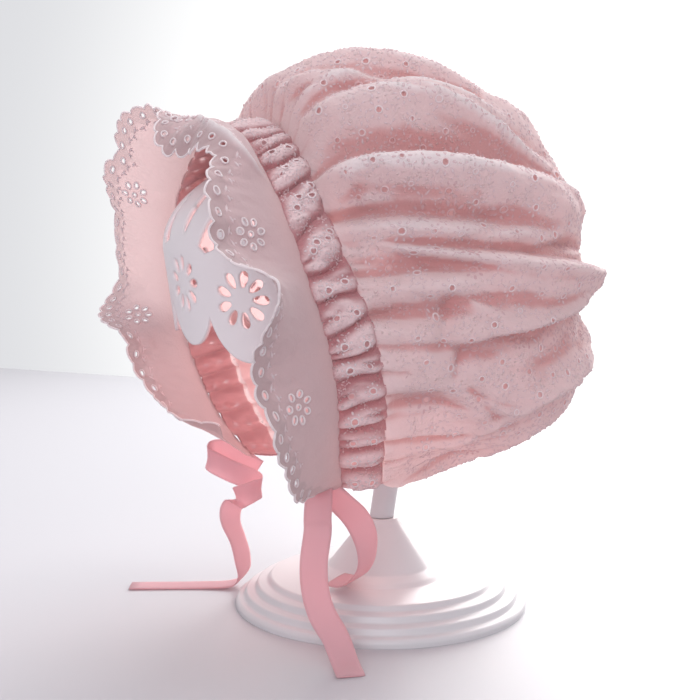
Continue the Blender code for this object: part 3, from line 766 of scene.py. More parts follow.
CROWN_CREASES = table(
    "front back start end depth width steep",
    (26, 45, 0.16, 0.66, -3.2, 2.8, 1.0),
    (38, 57, 0.38, 0.80, -2.6, 3.0, 1.2),
    (5, 36, 0.02, 0.50, -3.8, 3.8, 1.5),
    (8, 43, 0.02, 0.60, -3.8, 3.4, 1.7),
    (28, 38, 0.30, 0.98, 4.5, 13, 1.0),
    (14, 44, 0.10, 0.62, 2.0, 3.5, 1.3),
    (31, 47, 0.29, 0.66, -2.4, 3.0, 1.6),
    (43, 50, -0.02, 0.50, -2.6, 3.2, 0.6),
    (47, 55, 0.15, 0.60, 1.8, 3.5, 1.5),
    (52, 56, -0.05, 0.25, -2.0, 3.0, 1.5),
    (66, 73, -0.01, 0.30, 4.5, 3.0, 0.7),
    (65, 76, 0.10, 0.80, -1.3, 2.8, 0.5),
    (69, 66, 0.36, 0.74, 6.0, 4.5, 1.8),
    (70, 63, 0.34, 0.66, -3.0, 3.2, 1.0),
    (79, 80, 0.28, 0.80, -1.6, 4.0, 1.0),
    (83, 81, 0.10, 0.38, 3.0, 4.5, 1.0),
    (96, 84, 0.12, 0.70, -2.4, 3.0, 0.6),
    (104, 100, 0.25, 0.75, 1.6, 4.0, 1.5),
    (135, 108, 0.14, 0.42, -3.0, 3.4, 1.6),
    (112, 109, 0.26, 0.75, -2.6, 3.2, 1.5),
    (119, 116, 0.20, 0.62, 3.0, 3.5, 0.6),
    (136, 130, -0.02, 0.34, -2.6, 3.0, 1.2),
)
CROSS_CREASES = table(
    "first last start end depth width",
    (80, 99, 0.178, 0.112, 5.5, 4.6),
    (95, 109, 0.178, 0.130, 4.5, 4.2),
    (50, 62, 0.300, 0.330, 1.6, 4.0),
    (108, 124, 0.160, 0.240, 2.4, 4.4),
)
WRINKLES = 110
CROWN_FLAT = (1.75, 225.0)  # millimetres of cloth for each degree round the face, and to the back
GATHER_REACH = (6.0, 30.0)  # how far back a puff's gathers run, the shortest and the longest
GATHERS_ROUND = 64
PUCKER = 1.5  # the height of the puckers beside the band
PUCKER_REACH = 22.0
CRINKLE = 0.34  # the height of the cotton's own unevenness
CREASE_BANK = 0.12  # the low banks beside a crease, as a share of its depth
FOLD_BANK = 0.3
print("crown:", len(CROWN_FOLDS["front"]), "folds and", len(CROWN_CREASES["front"]), "creases")

# %% [markdown]
# ## The crown's surface
#
# Cloth like this could be draped by a simulation, but then its folds lie where they like. Here
# each fold is a formula, so it stays where its table puts it. The egg gives every point of the
# cloth a place and a direction out. The folds, the creases, the small puckers near the band and
# the ends of the band's puffs are all heights, added up and moved out along that direction.


# %% The egg
def crown_form(angle, along):
    """The smooth egg: its points, the directions out of it, and how far back each lies.

    along is 0 at the edge and 1 at the back. The egg is a rounded box of revolution, and the
    difference between it and the sewn edge fades over PUFF_RISE."""
    edge = ring_point(CROWN_EDGE, angle)
    turn = np.arctan2(edge[..., 0], edge[..., 2] - CROWN_CENTRE[2])
    power = 2 / CROWN_FULLNESS
    forward = (CROWN_CENTRE[1] - edge[..., 1]) / CROWN_FRONT
    first = np.arccos(-np.sign(forward) * np.abs(forward) ** (1 / power))
    reach = (
        np.abs(np.sin(turn) / CROWN_HALF_WIDTH) ** CROWN_FULLNESS
        + np.abs(np.cos(turn) / CROWN_HALF_HEIGHT) ** CROWN_FULLNESS
    ) ** (-1 / CROWN_FULLNESS)

    def egg(tilt):
        ahead = np.sign(np.cos(tilt)) * np.abs(np.cos(tilt)) ** power
        out = reach * np.sin(tilt) ** power
        y = CROWN_CENTRE[1] + ahead * np.where(ahead > 0, CROWN_BACK, CROWN_FRONT)
        return np.stack([out * np.sin(turn), y, CROWN_CENTRE[2] + out * np.cos(turn)], -1)

    tilt = first * np.clip(1 - along, 1e-4, 1)
    back = (first - tilt) * (CROWN_HALF_WIDTH + CROWN_BACK) / 2
    pull = np.clip(1 - back / PUFF_RISE, 0, 1) ** 2
    point = egg(tilt) + (edge - egg(first)) * pull[..., None]
    sag = CROWN_SAG * (CROWN_CENTRE[2] - point[..., 2]) / CROWN_HALF_HEIGHT
    point[..., 1] += sag * (1 - pull)
    out = unit((point - CROWN_CENTRE) / [CROWN_HALF_WIDTH**2, CROWN_BACK**2, CROWN_HALF_HEIGHT**2])
    return point, out, back


print("the egg ends at", crown_form(np.array([0.0]), np.array([1.0]))[0].round(1))


# %% Folds and creases
def random_wrinkles():
    """Short creases like the table's, at random places, from a fixed seed."""
    random = np.random.default_rng(14)
    front = random.uniform(-180, 180, WRINKLES)
    start = random.uniform(-0.02, 0.75, WRINKLES)
    return {
        "front": front,
        "back": front + random.uniform(-9, 9, WRINKLES),
        "start": start,
        "end": start + random.uniform(0.10, 0.26, WRINKLES),
        "depth": random.uniform(0.7, 2.0, WRINKLES) * random.choice([-1, 1], WRINKLES),
        "width": random.uniform(2.2, 4.2, WRINKLES),
        "steep": random.choice([0.6, 1.0, 1.6], WRINKLES),
    }


CROWN_WRINKLES = random_wrinkles()


def bell(x):
    """1 at 0 and falling away on both sides: e to the minus |x| to the power of 1.6."""
    return np.exp(-(np.abs(x) ** 1.6))


def rise_and_die(t):
    """A crease's depth along its run: a half sine, raised to 0.7 to make its ends steeper."""
    return np.sin(np.pi * t) ** 0.7


def folds(rows, angle, along, radius, bank):
    """How far a table's folds stand out: for each, a bell across it with a low bank on both
    sides, rising and dying along its run. Its steep side is the same bell, drawn together."""
    relief = np.zeros(np.broadcast(angle, along).shape)
    for front, back, start, end, depth, width, steep in zip(*rows.values()):
        t = np.clip((along - start) / (end - start), 0, 1)
        centre = front + (back - front) * np.sin(np.pi / 2 * t)
        x = np.radians((angle - centre + 180) % 360 - 180) * radius / width
        x = np.abs(x) * np.where(x > 0, steep, 1 / steep)
        shape = bell(x) - bank * np.exp(-((x - 1.9) ** 2))
        relief -= depth * shape * rise_and_die(t)
    return relief


def cross_creases(angle, along):
    """The creases that run round the crown: the same bell, across the other way."""
    relief = np.zeros(np.broadcast(angle, along).shape)
    for first, last, start, end, depth, width in zip(*CROSS_CREASES.values()):
        t = np.clip((angle - first) / (last - first), 0, 1)
        x = (along - start - (end - start) * t) * CROWN_FLAT[1] / width
        relief -= depth * bell(x) * rise_and_die(t)
    return relief


print("small wrinkles at random places:", WRINKLES)


# %% Puckers, gathers and the whole crown
def puckers(angle, along, back):
    """The gathers' small puckers, made sharp in their valleys, and the cotton's crinkle."""
    drift = 20 * np.sin(np.radians(2 * angle)) * np.sin(np.pi / 2 * along)
    line = (angle - drift) / 360 * GATHERS_ROUND
    broad = np.abs(hills(line, along * 5.5, 3)) ** 0.75
    narrow = np.abs(hills(line * 2, along * 9, 8)) ** 0.8
    near_band = np.exp(-back / PUCKER_REACH)
    relief = PUCKER * (0.25 + 0.9 * near_band) * (broad + 0.6 * narrow - 0.55)
    crinkle = CRINKLE * hills(line * 1.6 + 7, along * 36, 31)
    relief += crinkle + CRINKLE * 0.6 * hills(line * 3.2, along * 75, 32)
    return relief * (1 - along**4)


def gathers(angle, back):
    """The band's puffs running on into the crown, each for its own distance."""
    order, _ = puff_order(angle, 1.0)
    share = hills(np.floor(order) + 0.5 + 20 * (np.asarray(angle) < 0), 0.5, 12)
    low, high = GATHER_REACH
    return band_relief(angle, 1.0) * np.exp(-back / (low + (high - low) * (0.5 + 0.5 * share)))


def crown_cloth(angle, along):
    """A point on the crown's outer side, in its folds, creases, gathers and puckers."""
    point, out, back = crown_form(angle, along)
    radius = np.hypot(point[..., 0], point[..., 2] - CROWN_CENTRE[2])
    relief = folds(CROWN_FOLDS, angle, along, radius, FOLD_BANK)
    relief += folds(CROWN_CREASES, angle, along, radius, CREASE_BANK)
    relief += folds(CROWN_WRINKLES, angle, along, radius, CREASE_BANK)
    relief += cross_creases(angle, along)
    relief *= (1 - along**6) * np.clip(back / 4, 0, 1) ** 0.6
    relief -= CROWN_SETTLE * np.cos(np.radians(angle) / 2) ** 4 * np.clip(back / 4, 0, 1)
    relief += puckers(angle, along, back) * np.clip(back / 8, 0, 1)
    relief += gathers(angle, back) - SEAM_TUCK * np.exp(-((back / 2.2) ** 2))
    ahead = np.clip(1 - back / 16, 0, 1)[..., None]
    way = out * (1 - ahead) + outward(angle) * ahead
    return point + relief[..., None] * way


print("the crown's top is at", crown_cloth(np.array([0.0]), np.array([0.5])).round(1))

# %% [markdown]
# ## Cutting the eyelets
#
# Eyelet cotton has real holes, each bound with thread. To cut one from a grid of cloth, the grid
# points nearest to the hole's outline move onto it and the faces inside it go. The cloth keeps
# its even grid everywhere else, and a ring of stitching hides the join. All of it happens on the
# flat cloth, before the grid is bent into its shape, so whole arrays can be worked on at once.


# %% Cloth frame
FINE_STEP = (0.05, 0.0005)  # how far apart a surface is felt: in u, and in v
SNAP = 0.5  # grid points closer to an outline than this share of the spacing move onto it


def cloth_grid(v, u):
    """A grid of places: a row for each v and a column for each u."""
    v, u = np.meshgrid(v, u, indexing="ij")
    return u, v


def cloth_frame(surface, u, v, step=FINE_STEP):
    """The cloth's stretch at some places: millimetres along u for each unit of u, and along
    and across u for each unit of v."""
    along_u = (surface(u + step[0], v) - surface(u - step[0], v)) / (2 * step[0])
    along_v = (surface(u, v + step[1]) - surface(u, v - step[1])) / (2 * step[1])
    long = np.linalg.norm(along_u, axis=-1)
    lean = (along_u * along_v).sum(-1) / long
    wide = np.sqrt(np.maximum((along_v**2).sum(-1) - lean**2, 1e-9))
    return long, lean, wide


ROUND_SIDE = cloth_frame(crown_cloth, np.array([90.0]), np.array([0.5]))[0]
print("one degree round the crown's side is", ROUND_SIDE.round(2), "mm of cloth")


# %% Piercing
def pierce(u, v, holes, spacing, turn=0):
    """Cuts convex holes in a grid. Each is its centre's u and v, the cloth's stretch there and
    its outline in millimetres. turn is the grid's u all the way round, where it closes. Returns
    the moved grid and the faces that are left: whole ones, and halves beside a hole."""
    u, v = u.copy(), v.copy()
    inside = np.zeros(u.size, bool)
    rim_of = np.full(u.size, -1)
    for number, (cu, cv, long, lean, wide, outline) in enumerate(holes):
        apart = spacing[number] if np.ndim(spacing) else spacing
        du = (u - cu + turn / 2) % turn - turn / 2 if turn else u - cu
        y = (v - cv) * wide
        x = du * long + (v - cv) * lean
        reach = np.hypot(*outline.T).max() + apart
        near = np.flatnonzero(np.hypot(x, y).ravel() < reach)
        at = np.stack([x.flat[near], y.flat[near]], 1)
        side = np.roll(outline, -1, 0) - outline
        from_start = at[:, None] - outline
        share = np.clip((from_start * side).sum(-1) / (side**2).sum(-1), 0, 1)
        foot = outline + side * share[..., None]
        away = np.linalg.norm(at[:, None] - foot, axis=-1)
        best = away.argmin(1)
        foot, away = foot[np.arange(len(at)), best], away.min(1)
        cross = side[:, 0] * from_start[..., 1] - side[:, 1] * from_start[..., 0]
        within = cross.min(1) > 0
        snap = away < apart * SNAP
        move = foot - at
        dv = move[:, 1] / wide
        du = (move[:, 0] - dv * lean) / long
        u.flat[near[snap]] += du[snap]
        v.flat[near[snap]] += dv[snap]
        rim_of[near[snap]] = number
        inside[near[within & ~snap]] = True
    faces = grid_faces(*u.shape, closed=turn > 0)
    lost, rims = inside[faces], rim_of[faces]
    within = (rims[:, 0] >= 0) & (rims == rims[:, :1]).all(1)
    corner = lost.argmax(1)
    next_on, beyond, next_off = (np.take_along_axis(faces, (corner[:, None] + k) % 4, 1)[:, 0]
                                 for k in (1, 2, 3))
    halved = (lost.sum(1) == 1) & (rim_of[beyond] < 0)
    thirds = np.stack([next_on, beyond, next_off], 1)[halved]
    return u, v, [faces[~(lost.any(1) | within)], thirds]


# %% Holes and outlines
def used_only(faces, *arrays):
    """Leaves out the points that no face uses."""
    kept, now = np.unique(np.concatenate([f.ravel() for f in faces]), return_inverse=True)
    ends = np.cumsum([f.size for f in faces])[:-1]
    faces = [part.reshape(f.shape) for part, f in zip(np.split(now.ravel(), ends), faces)]
    return faces, *(a.reshape(-1, *a.shape[2:])[kept] for a in arrays)


def closing_fan(row):
    """Triangles that close a cloth at its back, from the points of its last row to one more
    point, which comes after all the others. row says which row each point is in."""
    last = np.flatnonzero(row == row.max())
    return np.stack([last, np.roll(last, -1), np.full(len(last), len(row))], 1)


def holes_at(surface, places, outlines, step=FINE_STEP):
    """The holes to cut: at each place all of its own outlines, with the cloth's stretch there."""
    marks = np.column_stack([places, *cloth_frame(surface, *places.T, step)])
    return [(*mark, outline) for mark, own in zip(marks, outlines) for outline in own]


def oval(half_long, half_wide, turn=0.0, sides=14, egg=0.0):
    """An oval's outline, narrower at its far end by egg, turned by some degrees."""
    a = np.arange(sides) / sides * 2 * np.pi
    return turned(half_long * np.cos(a), half_wide * np.sin(a) * (1 - egg * np.cos(a)), turn)


def ring_of_ovals(count, reach, half_long, half_wide, sides, first=0.0, egg=0.0):
    """Ovals round a middle, each pointing away from it, as the petals of a rosette do."""
    return [oval(half_long, half_wide, turn, sides, egg) + turned(reach, 0.0, turn)
            for turn in first + 360 * np.arange(count) / count]


print("an oval has", len(oval(1, 1)), "corners")

# %% [markdown]
# ## Stitched shapes
#
# The embroidery is thread: a cord bound round each hole, and satin-stitched petals and leaves
# beside it. Each is made once as a small flat pattern of a few dozen faces, with a height for
# each corner, and then laid on the cloth at every place where it is stitched: its corners are
# turned, moved to the place, and lifted off the real surface there. All copies are one mesh.

# %% Stitched shapes
STITCH_UV = 10.0  # the satin's own scale: stitches lie closer than the weave
CORD_STEPS = np.array([(-0.15, -0.3), (0.1, 0.85), (0.75, 1.0), (1.1, -0.25)])  # out and up
LEAF_X = np.array([0, 0.28, 0.72, 1, 0.72, 0.28, 0.55])  # six corners and the ridge
LEAF_Y = np.array([0, -0.8, -0.95, 0, 0.95, 0.8, 0])
LEAF_Z = np.array([-0.2, -0.2, -0.2, -0.2, -0.2, -0.2, 1])
FLOWER_PETALS = 8
SHORT_PETAL = 0.86  # the length of every second petal, as a share of the others'
PETAL_GAP = 1.1
RING_CORD, RING_HEIGHT = 0.65, 0.42


def bound_ring(outline, cord, height):
    """A cord bound round a hole: three strips from just inside the outline to its outside."""
    tangent = np.roll(outline, -1, 0) - np.roll(outline, 1, 0)
    away = unit(np.stack([tangent[:, 1], -tangent[:, 0]], 1))
    count = len(outline)
    points = [np.column_stack([outline + away * cord * s, np.full(count, height * h)])
              for s, h in CORD_STEPS]
    round_it = np.arange(count) / count * np.linalg.norm(tangent, axis=1).sum() / 2
    uv = [np.column_stack([round_it, np.full(count, s)]) for s, _ in CORD_STEPS]
    return np.concatenate(points), np.concatenate(uv) * STITCH_UV, [grid_faces(4, count, True)]


def leaf(start, end, half_wide, height, turn):
    """A satin-stitched leaf or petal from start to end along a direction."""
    x = start + (end - start) * LEAF_X
    y = half_wide * LEAF_Y
    c = np.arange(6)
    faces = [np.stack([c, (c + 1) % 6, np.full(6, 6)], 1)]
    points = np.column_stack([turned(x, y, turn), height * LEAF_Z])
    return points, np.column_stack([x, y]) * STITCH_UV, faces


def gather_shapes(*shapes):
    """Several patterns as one: points, their own coordinates, and faces by their corners."""
    starts = np.cumsum([0] + [len(s[0]) for s in shapes])
    faces = [f + start for s, start in zip(shapes, starts) for f in s[2]]
    by_corners = [np.concatenate([f for f in faces if f.shape[1] == n]) for n in (3, 4)
                  if any(f.shape[1] == n for f in faces)]
    return np.concatenate([s[0] for s in shapes]), np.concatenate([s[1] for s in shapes]), by_corners


print("a leaf has", len(leaf(0, 1, 1, 1, 0)[2][0]), "faces")


# %% Laying the shapes on the cloth
def lay_shapes(surface, places, shape, turns, sizes, step=FINE_STEP, side=1, lift=0.0):
    """Lays a pattern on a cloth at each place (its u and v), turned and sized there, and lifted
    off it. side is 1 on the side that du x dv points to and -1 on the other."""
    flat, uv, faces = shape
    u0, v0 = (column[:, None] for column in places.T)
    long, lean, wide = (s[:, None] for s in cloth_frame(surface, *places.T, step))
    x, y = np.moveaxis(turned(*flat[:, :2].T, turns[:, None]) * sizes[:, None, None], -1, 0)
    v = v0 + y / wide
    u = u0 + (x - lean * y / wide) / long
    on = surface(u, v)
    normal = unit(np.cross(surface(u + step[0], v) - on, surface(u, v + step[1]) - on))
    points = on + normal * side * (flat[:, 2] + lift)[None, :, None]
    starts = (np.arange(len(places)) * len(flat))[:, None, None]
    laid = [(f[None] + starts).reshape(-1, f.shape[1])[:, ::side] for f in faces]
    return points.reshape(-1, 3), np.tile(np.column_stack([uv, flat[:, 2]]), (len(places), 1)), laid


# %% Flower, sprig and stitching
def eyelet_flower(radius, reach):
    """An eyelet's ring with petals of satin stitch round it, long and short in turn."""
    ring = bound_ring(oval(radius, radius, sides=8), RING_CORD, RING_HEIGHT)
    lengths = [reach * (1 if k % 2 else SHORT_PETAL) for k in range(FLOWER_PETALS)]
    petals = [leaf(radius + PETAL_GAP, end, 0.72, 0.7, k / FLOWER_PETALS * 360)
              for k, end in enumerate(lengths)]
    return gather_shapes(ring, *petals)


def sprig():
    """Three small leaves and a knot, stitched between the eyelets."""
    leaves = [leaf(0.5, 2.9, 0.52, 0.6, turn) for turn in (0, 115, 235)]
    return gather_shapes(leaf(-0.6, 0.6, 0.42, 0.5, 40), *leaves)


def far_from(surface, places, others, clear):
    """Which places lie further than clear, in millimetres, from all the others."""
    away = np.linalg.norm(surface(*places.T)[:, None] - surface(*others.T)[None], axis=-1)
    return away.min(1) > clear


def make_stitching(name, laid, hollows=None):
    """One mesh of all the stitched shapes on a piece of cloth. Each shape's rim, where the thread
    goes down into the cloth, is marked for painted shade. hollows says, for each laid pattern, how
    deep in a fold each of its places is, for painted shade there."""
    points, uv, faces = gather_shapes(*laid)
    hollow = np.zeros(len(points))
    if hollows:
        hollow = np.concatenate([np.repeat(h, len(s[0]) // len(h)) for s, h in zip(laid, hollows)])
    # Painted shade in the folds and at the low rims of the stitches.
    marks = {"hollow": hollow, "thick_thread_and_rim_shade": np.clip(1 - uv[:, 2] / 0.3, 0, 1)}
    print(name, "has", sum(len(f) * (f.shape[1] - 2) for f in faces), "triangles")
    return make_mesh(name, points, faces, THREAD, uv=uv[:, :2], marks=marks)


# %% [markdown]
# ## The crown
#
# The crown's grid has a column about every 1.3 mm at its widest and a row about every 1.2 mm
# from the band to the back, where its columns close in one point. Eyelets of slightly different
# sizes stand in rows a little over a centimetre apart. How deep each point lies in a fold is the
# difference between its height and that of the cloth around it, and the material paints shade
# there; the sharpest crests on the window's side get a painted highlight. A thin plain lining
# lies just inside, which shows through the eyelets and round the neck.

# %% Places of the eyelets
EYELET_PITCH = 13.0
EYELET_RADIUS = 1.2
EYELETS_FROM, EYELETS_TO = 0.045, 0.97  # shares of the way from the edge to the back
SPRIG_PITCH = 5.2
SPRIG_CLEAR = 6.0  # how far a sprig keeps from an eyelet's middle
CROWN_COLUMNS = 500
CROWN_ROWS = 190
CROWN_SPACING = 1.25  # about how far apart the grid's points are, in millimetres
LINING_ROWS = 110
LINING_GAP = 1.4
BROAD, FINE = 11, 4  # how many columns away the cloth around a point reaches
BROAD_DEPTH, FINE_DEPTH = 5.0, 1.3  # the depths that count as a whole hollow
# The white of the crests is a painted highlight, for the window's light from behind.
CREST_HEIGHT, CREST_RANGE = 0.9, 0.7  # where a crest starts to turn white, and over how much
CREST_MIDDLE, CREST_SPREAD = 28, 35  # the angles whose crests the window's light comes through


def spread_places(surface, first, last, pitch, seed):
    """Places about a pitch apart all over a closed cloth: rings of them, evenly spaced by
    length, each ring turned by half a pitch and each place moved a little at random."""
    random = np.random.default_rng(seed)
    fine = np.linspace(-180, 180, 721)
    length = length_gone(surface(np.zeros(200), np.linspace(first, last, 200)))[-1]
    rows = int(length / pitch)
    places = []
    for row in range(rows):
        v = first + (last - first) * (row + 0.5) / rows
        gone = length_gone(surface(fine, np.full_like(fine, v)))
        count = max(3, int(gone[-1] / pitch / 1.04))
        share = (np.arange(count) + 0.5 * (row % 2) + random.uniform(-0.12, 0.12, count)) / count
        u = np.interp(share % 1 * gone[-1], gone, fine)
        moved = (last - first) / rows * random.uniform(-0.12, 0.12, count)
        places.append(np.stack([u, v + moved], 1))
    return np.concatenate(places)


# %% Hollows and crests
def depth_mark(height, reach):
    """How much lower each point is than the mean of its row within reach columns of it."""
    wrapped = np.concatenate([height[:, -reach:], height, height[:, :reach]], 1)
    summed = np.cumsum(np.pad(wrapped, ((0, 0), (1, 0))), 1)
    count = 2 * reach + 1
    return (summed[:, count:] - summed[:, :-count]) / count - height


def eyelet_sizes(count):
    """The eyelets are punched and bound by hand, so each has its own size."""
    return np.random.default_rng(15).uniform(0.72, 1.25, count)


def angles_round(columns):
    """Evenly spaced angles all the way round, starting at the nape."""
    return -180 + 360 * np.arange(columns) / columns


def crown_marks(u, v, points):
    """How deep in a fold each point of the crown's grid is, for the painted shade there, and how much
    painted highlight its crest gets on the window's side.
    """
    smooth, out, _ = crown_form(u, v)
    height = ((points - smooth) * out).sum(-1)
    hollow = depth_mark(height, BROAD) / BROAD_DEPTH + depth_mark(height, FINE) / FINE_DEPTH
    lit = np.clip(1.6 - np.abs(u - CREST_MIDDLE) / CREST_SPREAD, 0, 1) * np.clip(v / 0.1, 0, 1)
    crest = np.clip((-depth_mark(height, FINE) - CREST_HEIGHT) / CREST_RANGE, 0, 1)
    return np.clip(hollow, 0, 1), lit * crest


# %% Crown and lining
def make_crown():
    """The eyelet cotton, pierced and bent into the crown, with its mesh, its eyelets' places and
    how deep in a fold each grid point is."""
    u, v = cloth_grid(np.linspace(0, 1, CROWN_ROWS + 1)[:-1], angles_round(CROWN_COLUMNS))
    places = spread_places(crown_cloth, EYELETS_FROM, EYELETS_TO, EYELET_PITCH, 5)
    outlines = [[oval(size, size)] for size in EYELET_RADIUS * eyelet_sizes(len(places))]
    u, v, faces = pierce(u, v, holes_at(crown_cloth, places, outlines), CROWN_SPACING, 360)
    points = crown_cloth(u, v)
    # Painted shade in the folds, and a painted highlight on the crests.
    hollow, crest = crown_marks(u, v, points)
    row = np.broadcast_to(np.arange(CROWN_ROWS)[:, None], u.shape)
    faces, points, uv, row, deep, pale = used_only(
        faces, points, np.stack([u, v], -1) * CROWN_FLAT, row, hollow, crest)
    tip = crown_cloth(np.array([0.0]), np.array([1.0]))
    made = make_mesh("crown_cloth", np.vstack([points, tip]), [*faces, closing_fan(row)], CROWN_CLOTH,
                     "crown", np.vstack([uv, [[0, CROWN_FLAT[1]]]]),
                     {"hollow": np.append(deep, 0.0), "crest": np.append(pale, 0.0)})
    print("crown:", sum(map(len, faces)), "faces,", len(places), "eyelets")
    return made, places, hollow


def make_crown_lining():
    """Plain voile just inside the eyelet cotton: the same surface, LINING_GAP further in."""
    u, v = cloth_grid(np.linspace(0.004, 0.985, LINING_ROWS), angles_round(CROWN_COLUMNS // 2))
    points = crown_cloth(u, v) - crown_form(u, v)[1] * LINING_GAP
    return make_mesh("crown_lining", points, grid_faces(*v.shape, closed=True), LINING_CLOTH,
                     uv=np.stack([u, v], -1) * CROWN_FLAT)


CROWN, CROWN_PLACES, CROWN_HOLLOW = make_crown()
CROWN_LINING = make_crown_lining()


# %% Crown embroidery
def hollow_at(places):
    """How deep in a fold the crown's cloth is at some places."""
    column = ((places[:, 0] + 180) / 360 * CROWN_COLUMNS).astype(int) % CROWN_COLUMNS
    row = np.clip((places[:, 1] * CROWN_ROWS).astype(int), 0, CROWN_ROWS - 1)
    return CROWN_HOLLOW[row, column]


def make_crown_stitching():
    """A flower round each eyelet, and sprigs wherever there is room between them."""
    random = np.random.default_rng(6)
    count = len(CROWN_PLACES)
    sprigs = spread_places(crown_cloth, 0.03, 0.97, SPRIG_PITCH, 9)
    sprigs = sprigs[far_from(crown_cloth, sprigs, CROWN_PLACES, SPRIG_CLEAR)]
    laid = [
        lay_shapes(crown_cloth, CROWN_PLACES, eyelet_flower(EYELET_RADIUS, 5.2),
                   random.uniform(0, 360, count), eyelet_sizes(count)),
        lay_shapes(crown_cloth, sprigs, sprig(), random.uniform(0, 360, len(sprigs)),
                   random.uniform(0.7, 1.25, len(sprigs))),
    ]
    return make_stitching("crown_embroidery", laid,
                          [hollow_at(CROWN_PLACES), hollow_at(sprigs)])


CROWN_STITCHES = make_crown_stitching()

# %% [markdown]
# ## The face band
#
# The band is an elastic casing: a double strip of the same cotton, drawn up until it stands in
# deep puffs. Its surface runs from the brim's seam to the crown's and swells between them, and
# its creases are painted darker as shade. Each puff shows an eyelet or two, and through them the
# casing's inner side, whose darker colour is painted shade.

# %% Band surface
BAND_COLUMNS = 900
BAND_ROWS = 38
BAND_SPACING = 0.8
BAND_FLAT = (1.9, 24.0)  # millimetres of cloth for each degree round the face, and across
BAND_EYELET = 1.45
HOLLOW_LEVEL, HOLLOW_RANGE = 1.7, 2.2  # below which relief a crease begins, and over how much
NARROW_PUFF, WIDE_PUFF = 6.5, 10.0  # degrees between two creases
BAND_STEP = (0.05, 0.01)
BAND_STITCH_STEP = (0.05, 0.005)
BAND_SPRIGS = 260  # tried at random; the ones too close to an eyelet are left out
BAND_SPRIG_CLEAR = 5.2
CASING_ROWS = 20
CASING_GAP = 1.3


def band_cloth(angle, across):
    """A point on the band: straight from seam to seam, plus its relief, tucked in at the rear
    seam as the crown is."""
    front = ring_point(FACE_LINE, angle, False)
    rear = ring_point(CROWN_EDGE, angle)
    middle = front + (rear - front) * np.asarray(across)[..., None]
    tuck = SEAM_TUCK * np.exp(-(((np.asarray(across) - 1) * 9) ** 2))
    return middle + outward(angle) * (band_relief(angle, across) - tuck)[..., None]


def band_hollow(angle, across):
    """How deep in a crease each point is, from 0 to 1, for the painted shade there."""
    return np.clip((HOLLOW_LEVEL - band_relief(angle, across)) / HOLLOW_RANGE, 0, 1)


def band_places():
    """Two eyelets to a puff and one to a narrow one, a little off its middle line. On the near
    side a wide puff has two more."""
    random = np.random.default_rng(11)
    front = np.concatenate([[-CREASES["front"][0]], CREASES["front"]])
    rear = np.concatenate([[-CREASES["rear"][0]], CREASES["rear"]])
    places = []
    for k in range(len(front) - 1):
        wide = front[k + 1] - front[k]
        for across in ((0.3, 0.72) if wide > NARROW_PUFF else (0.5,)):
            share = PUFF_SHARE * random.uniform(0.62, 0.98)
            start = front[k] + (rear[k] - front[k]) * across
            end = front[k + 1] + (rear[k + 1] - front[k + 1]) * across
            here = start + (end - start) * share
            places += [(here, across)] + ([(-here, across)] if k else [])
            if wide > WIDE_PUFF:
                places.append((start + (end - start) * 0.3, across + 0.12))
    places = np.array(places)
    return places[np.abs(places[:, 0]) < CORNER - 3]


BAND_PLACES = band_places()
BAND_ANGLES = np.linspace(-CORNER, CORNER, BAND_COLUMNS)
print("the puffs stand out by up to", band_relief(BAND_ANGLES, 0.5).max().round(1), "mm")


# %% Band, its stitching and its casing
def make_band():
    """The shirred cotton, pierced and drawn up; it runs a little in under the crown's edge."""
    u, v = cloth_grid(np.linspace(0, 1.03, BAND_ROWS), BAND_ANGLES)
    hole = oval(BAND_EYELET, BAND_EYELET, sides=12)
    holes = holes_at(band_cloth, BAND_PLACES, [[hole]] * len(BAND_PLACES), BAND_STEP)
    u, v, faces = pierce(u, v, holes, BAND_SPACING)
    faces, points, uv, hollow = used_only(
        faces, band_cloth(u, v), np.stack([u, v], -1) * BAND_FLAT, band_hollow(u, v))
    return make_mesh("band_cloth", points, faces, BAND_CLOTH, "face_band", uv,
                     {"hollow": hollow})


def make_band_stitching():
    """The same flowers and sprigs as on the crown, a little smaller."""
    random = np.random.default_rng(3)
    count = len(BAND_PLACES)
    sprigs = np.column_stack([random.uniform(-CORNER + 2, CORNER - 2, BAND_SPRIGS),
                              random.uniform(0.12, 0.88, BAND_SPRIGS)])
    sprigs = sprigs[far_from(band_cloth, sprigs, BAND_PLACES, BAND_SPRIG_CLEAR)]
    laid = [
        lay_shapes(band_cloth, BAND_PLACES, eyelet_flower(BAND_EYELET, 4.6),
                   random.uniform(0, 360, count), random.uniform(0.85, 1.05, count), BAND_STITCH_STEP),
        lay_shapes(band_cloth, sprigs, sprig(), random.uniform(0, 360, len(sprigs)),
                   random.uniform(0.7, 0.95, len(sprigs)), BAND_STITCH_STEP),
    ]
    return make_stitching("band_embroidery", laid,
                          [band_hollow(*BAND_PLACES.T), band_hollow(*sprigs.T)])


def make_casing():
    """The strip under the band's cloth: the same surface, CASING_GAP further in."""
    u, v = cloth_grid(np.linspace(0.01, 0.99, CASING_ROWS), BAND_ANGLES)
    points = band_cloth(u, v) - outward(u) * CASING_GAP
    return make_mesh("band_casing", points, grid_faces(*v.shape), SHADED_CASING_CLOTH,
                     uv=np.stack([u, v], -1) * BAND_FLAT)


BAND = make_band()
BAND_STITCHES = make_band_stitching()
CASING = make_casing()
print("band:", len(BAND_PLACES), "eyelets")

# %% [markdown]
# ## The brim
#
# The brim is a single layer that flares and waves: at each angle the table gives how far it
# turns from straight ahead towards straight out, how wide it is and how much it arches. Near the
# top it is turned back, with a sharp pleat. Its edge is cut in scallops, each with one oval
# eyelet, and is dense with thread. Small leaves zigzag along this border, and further in lie
# five rosettes of holes.

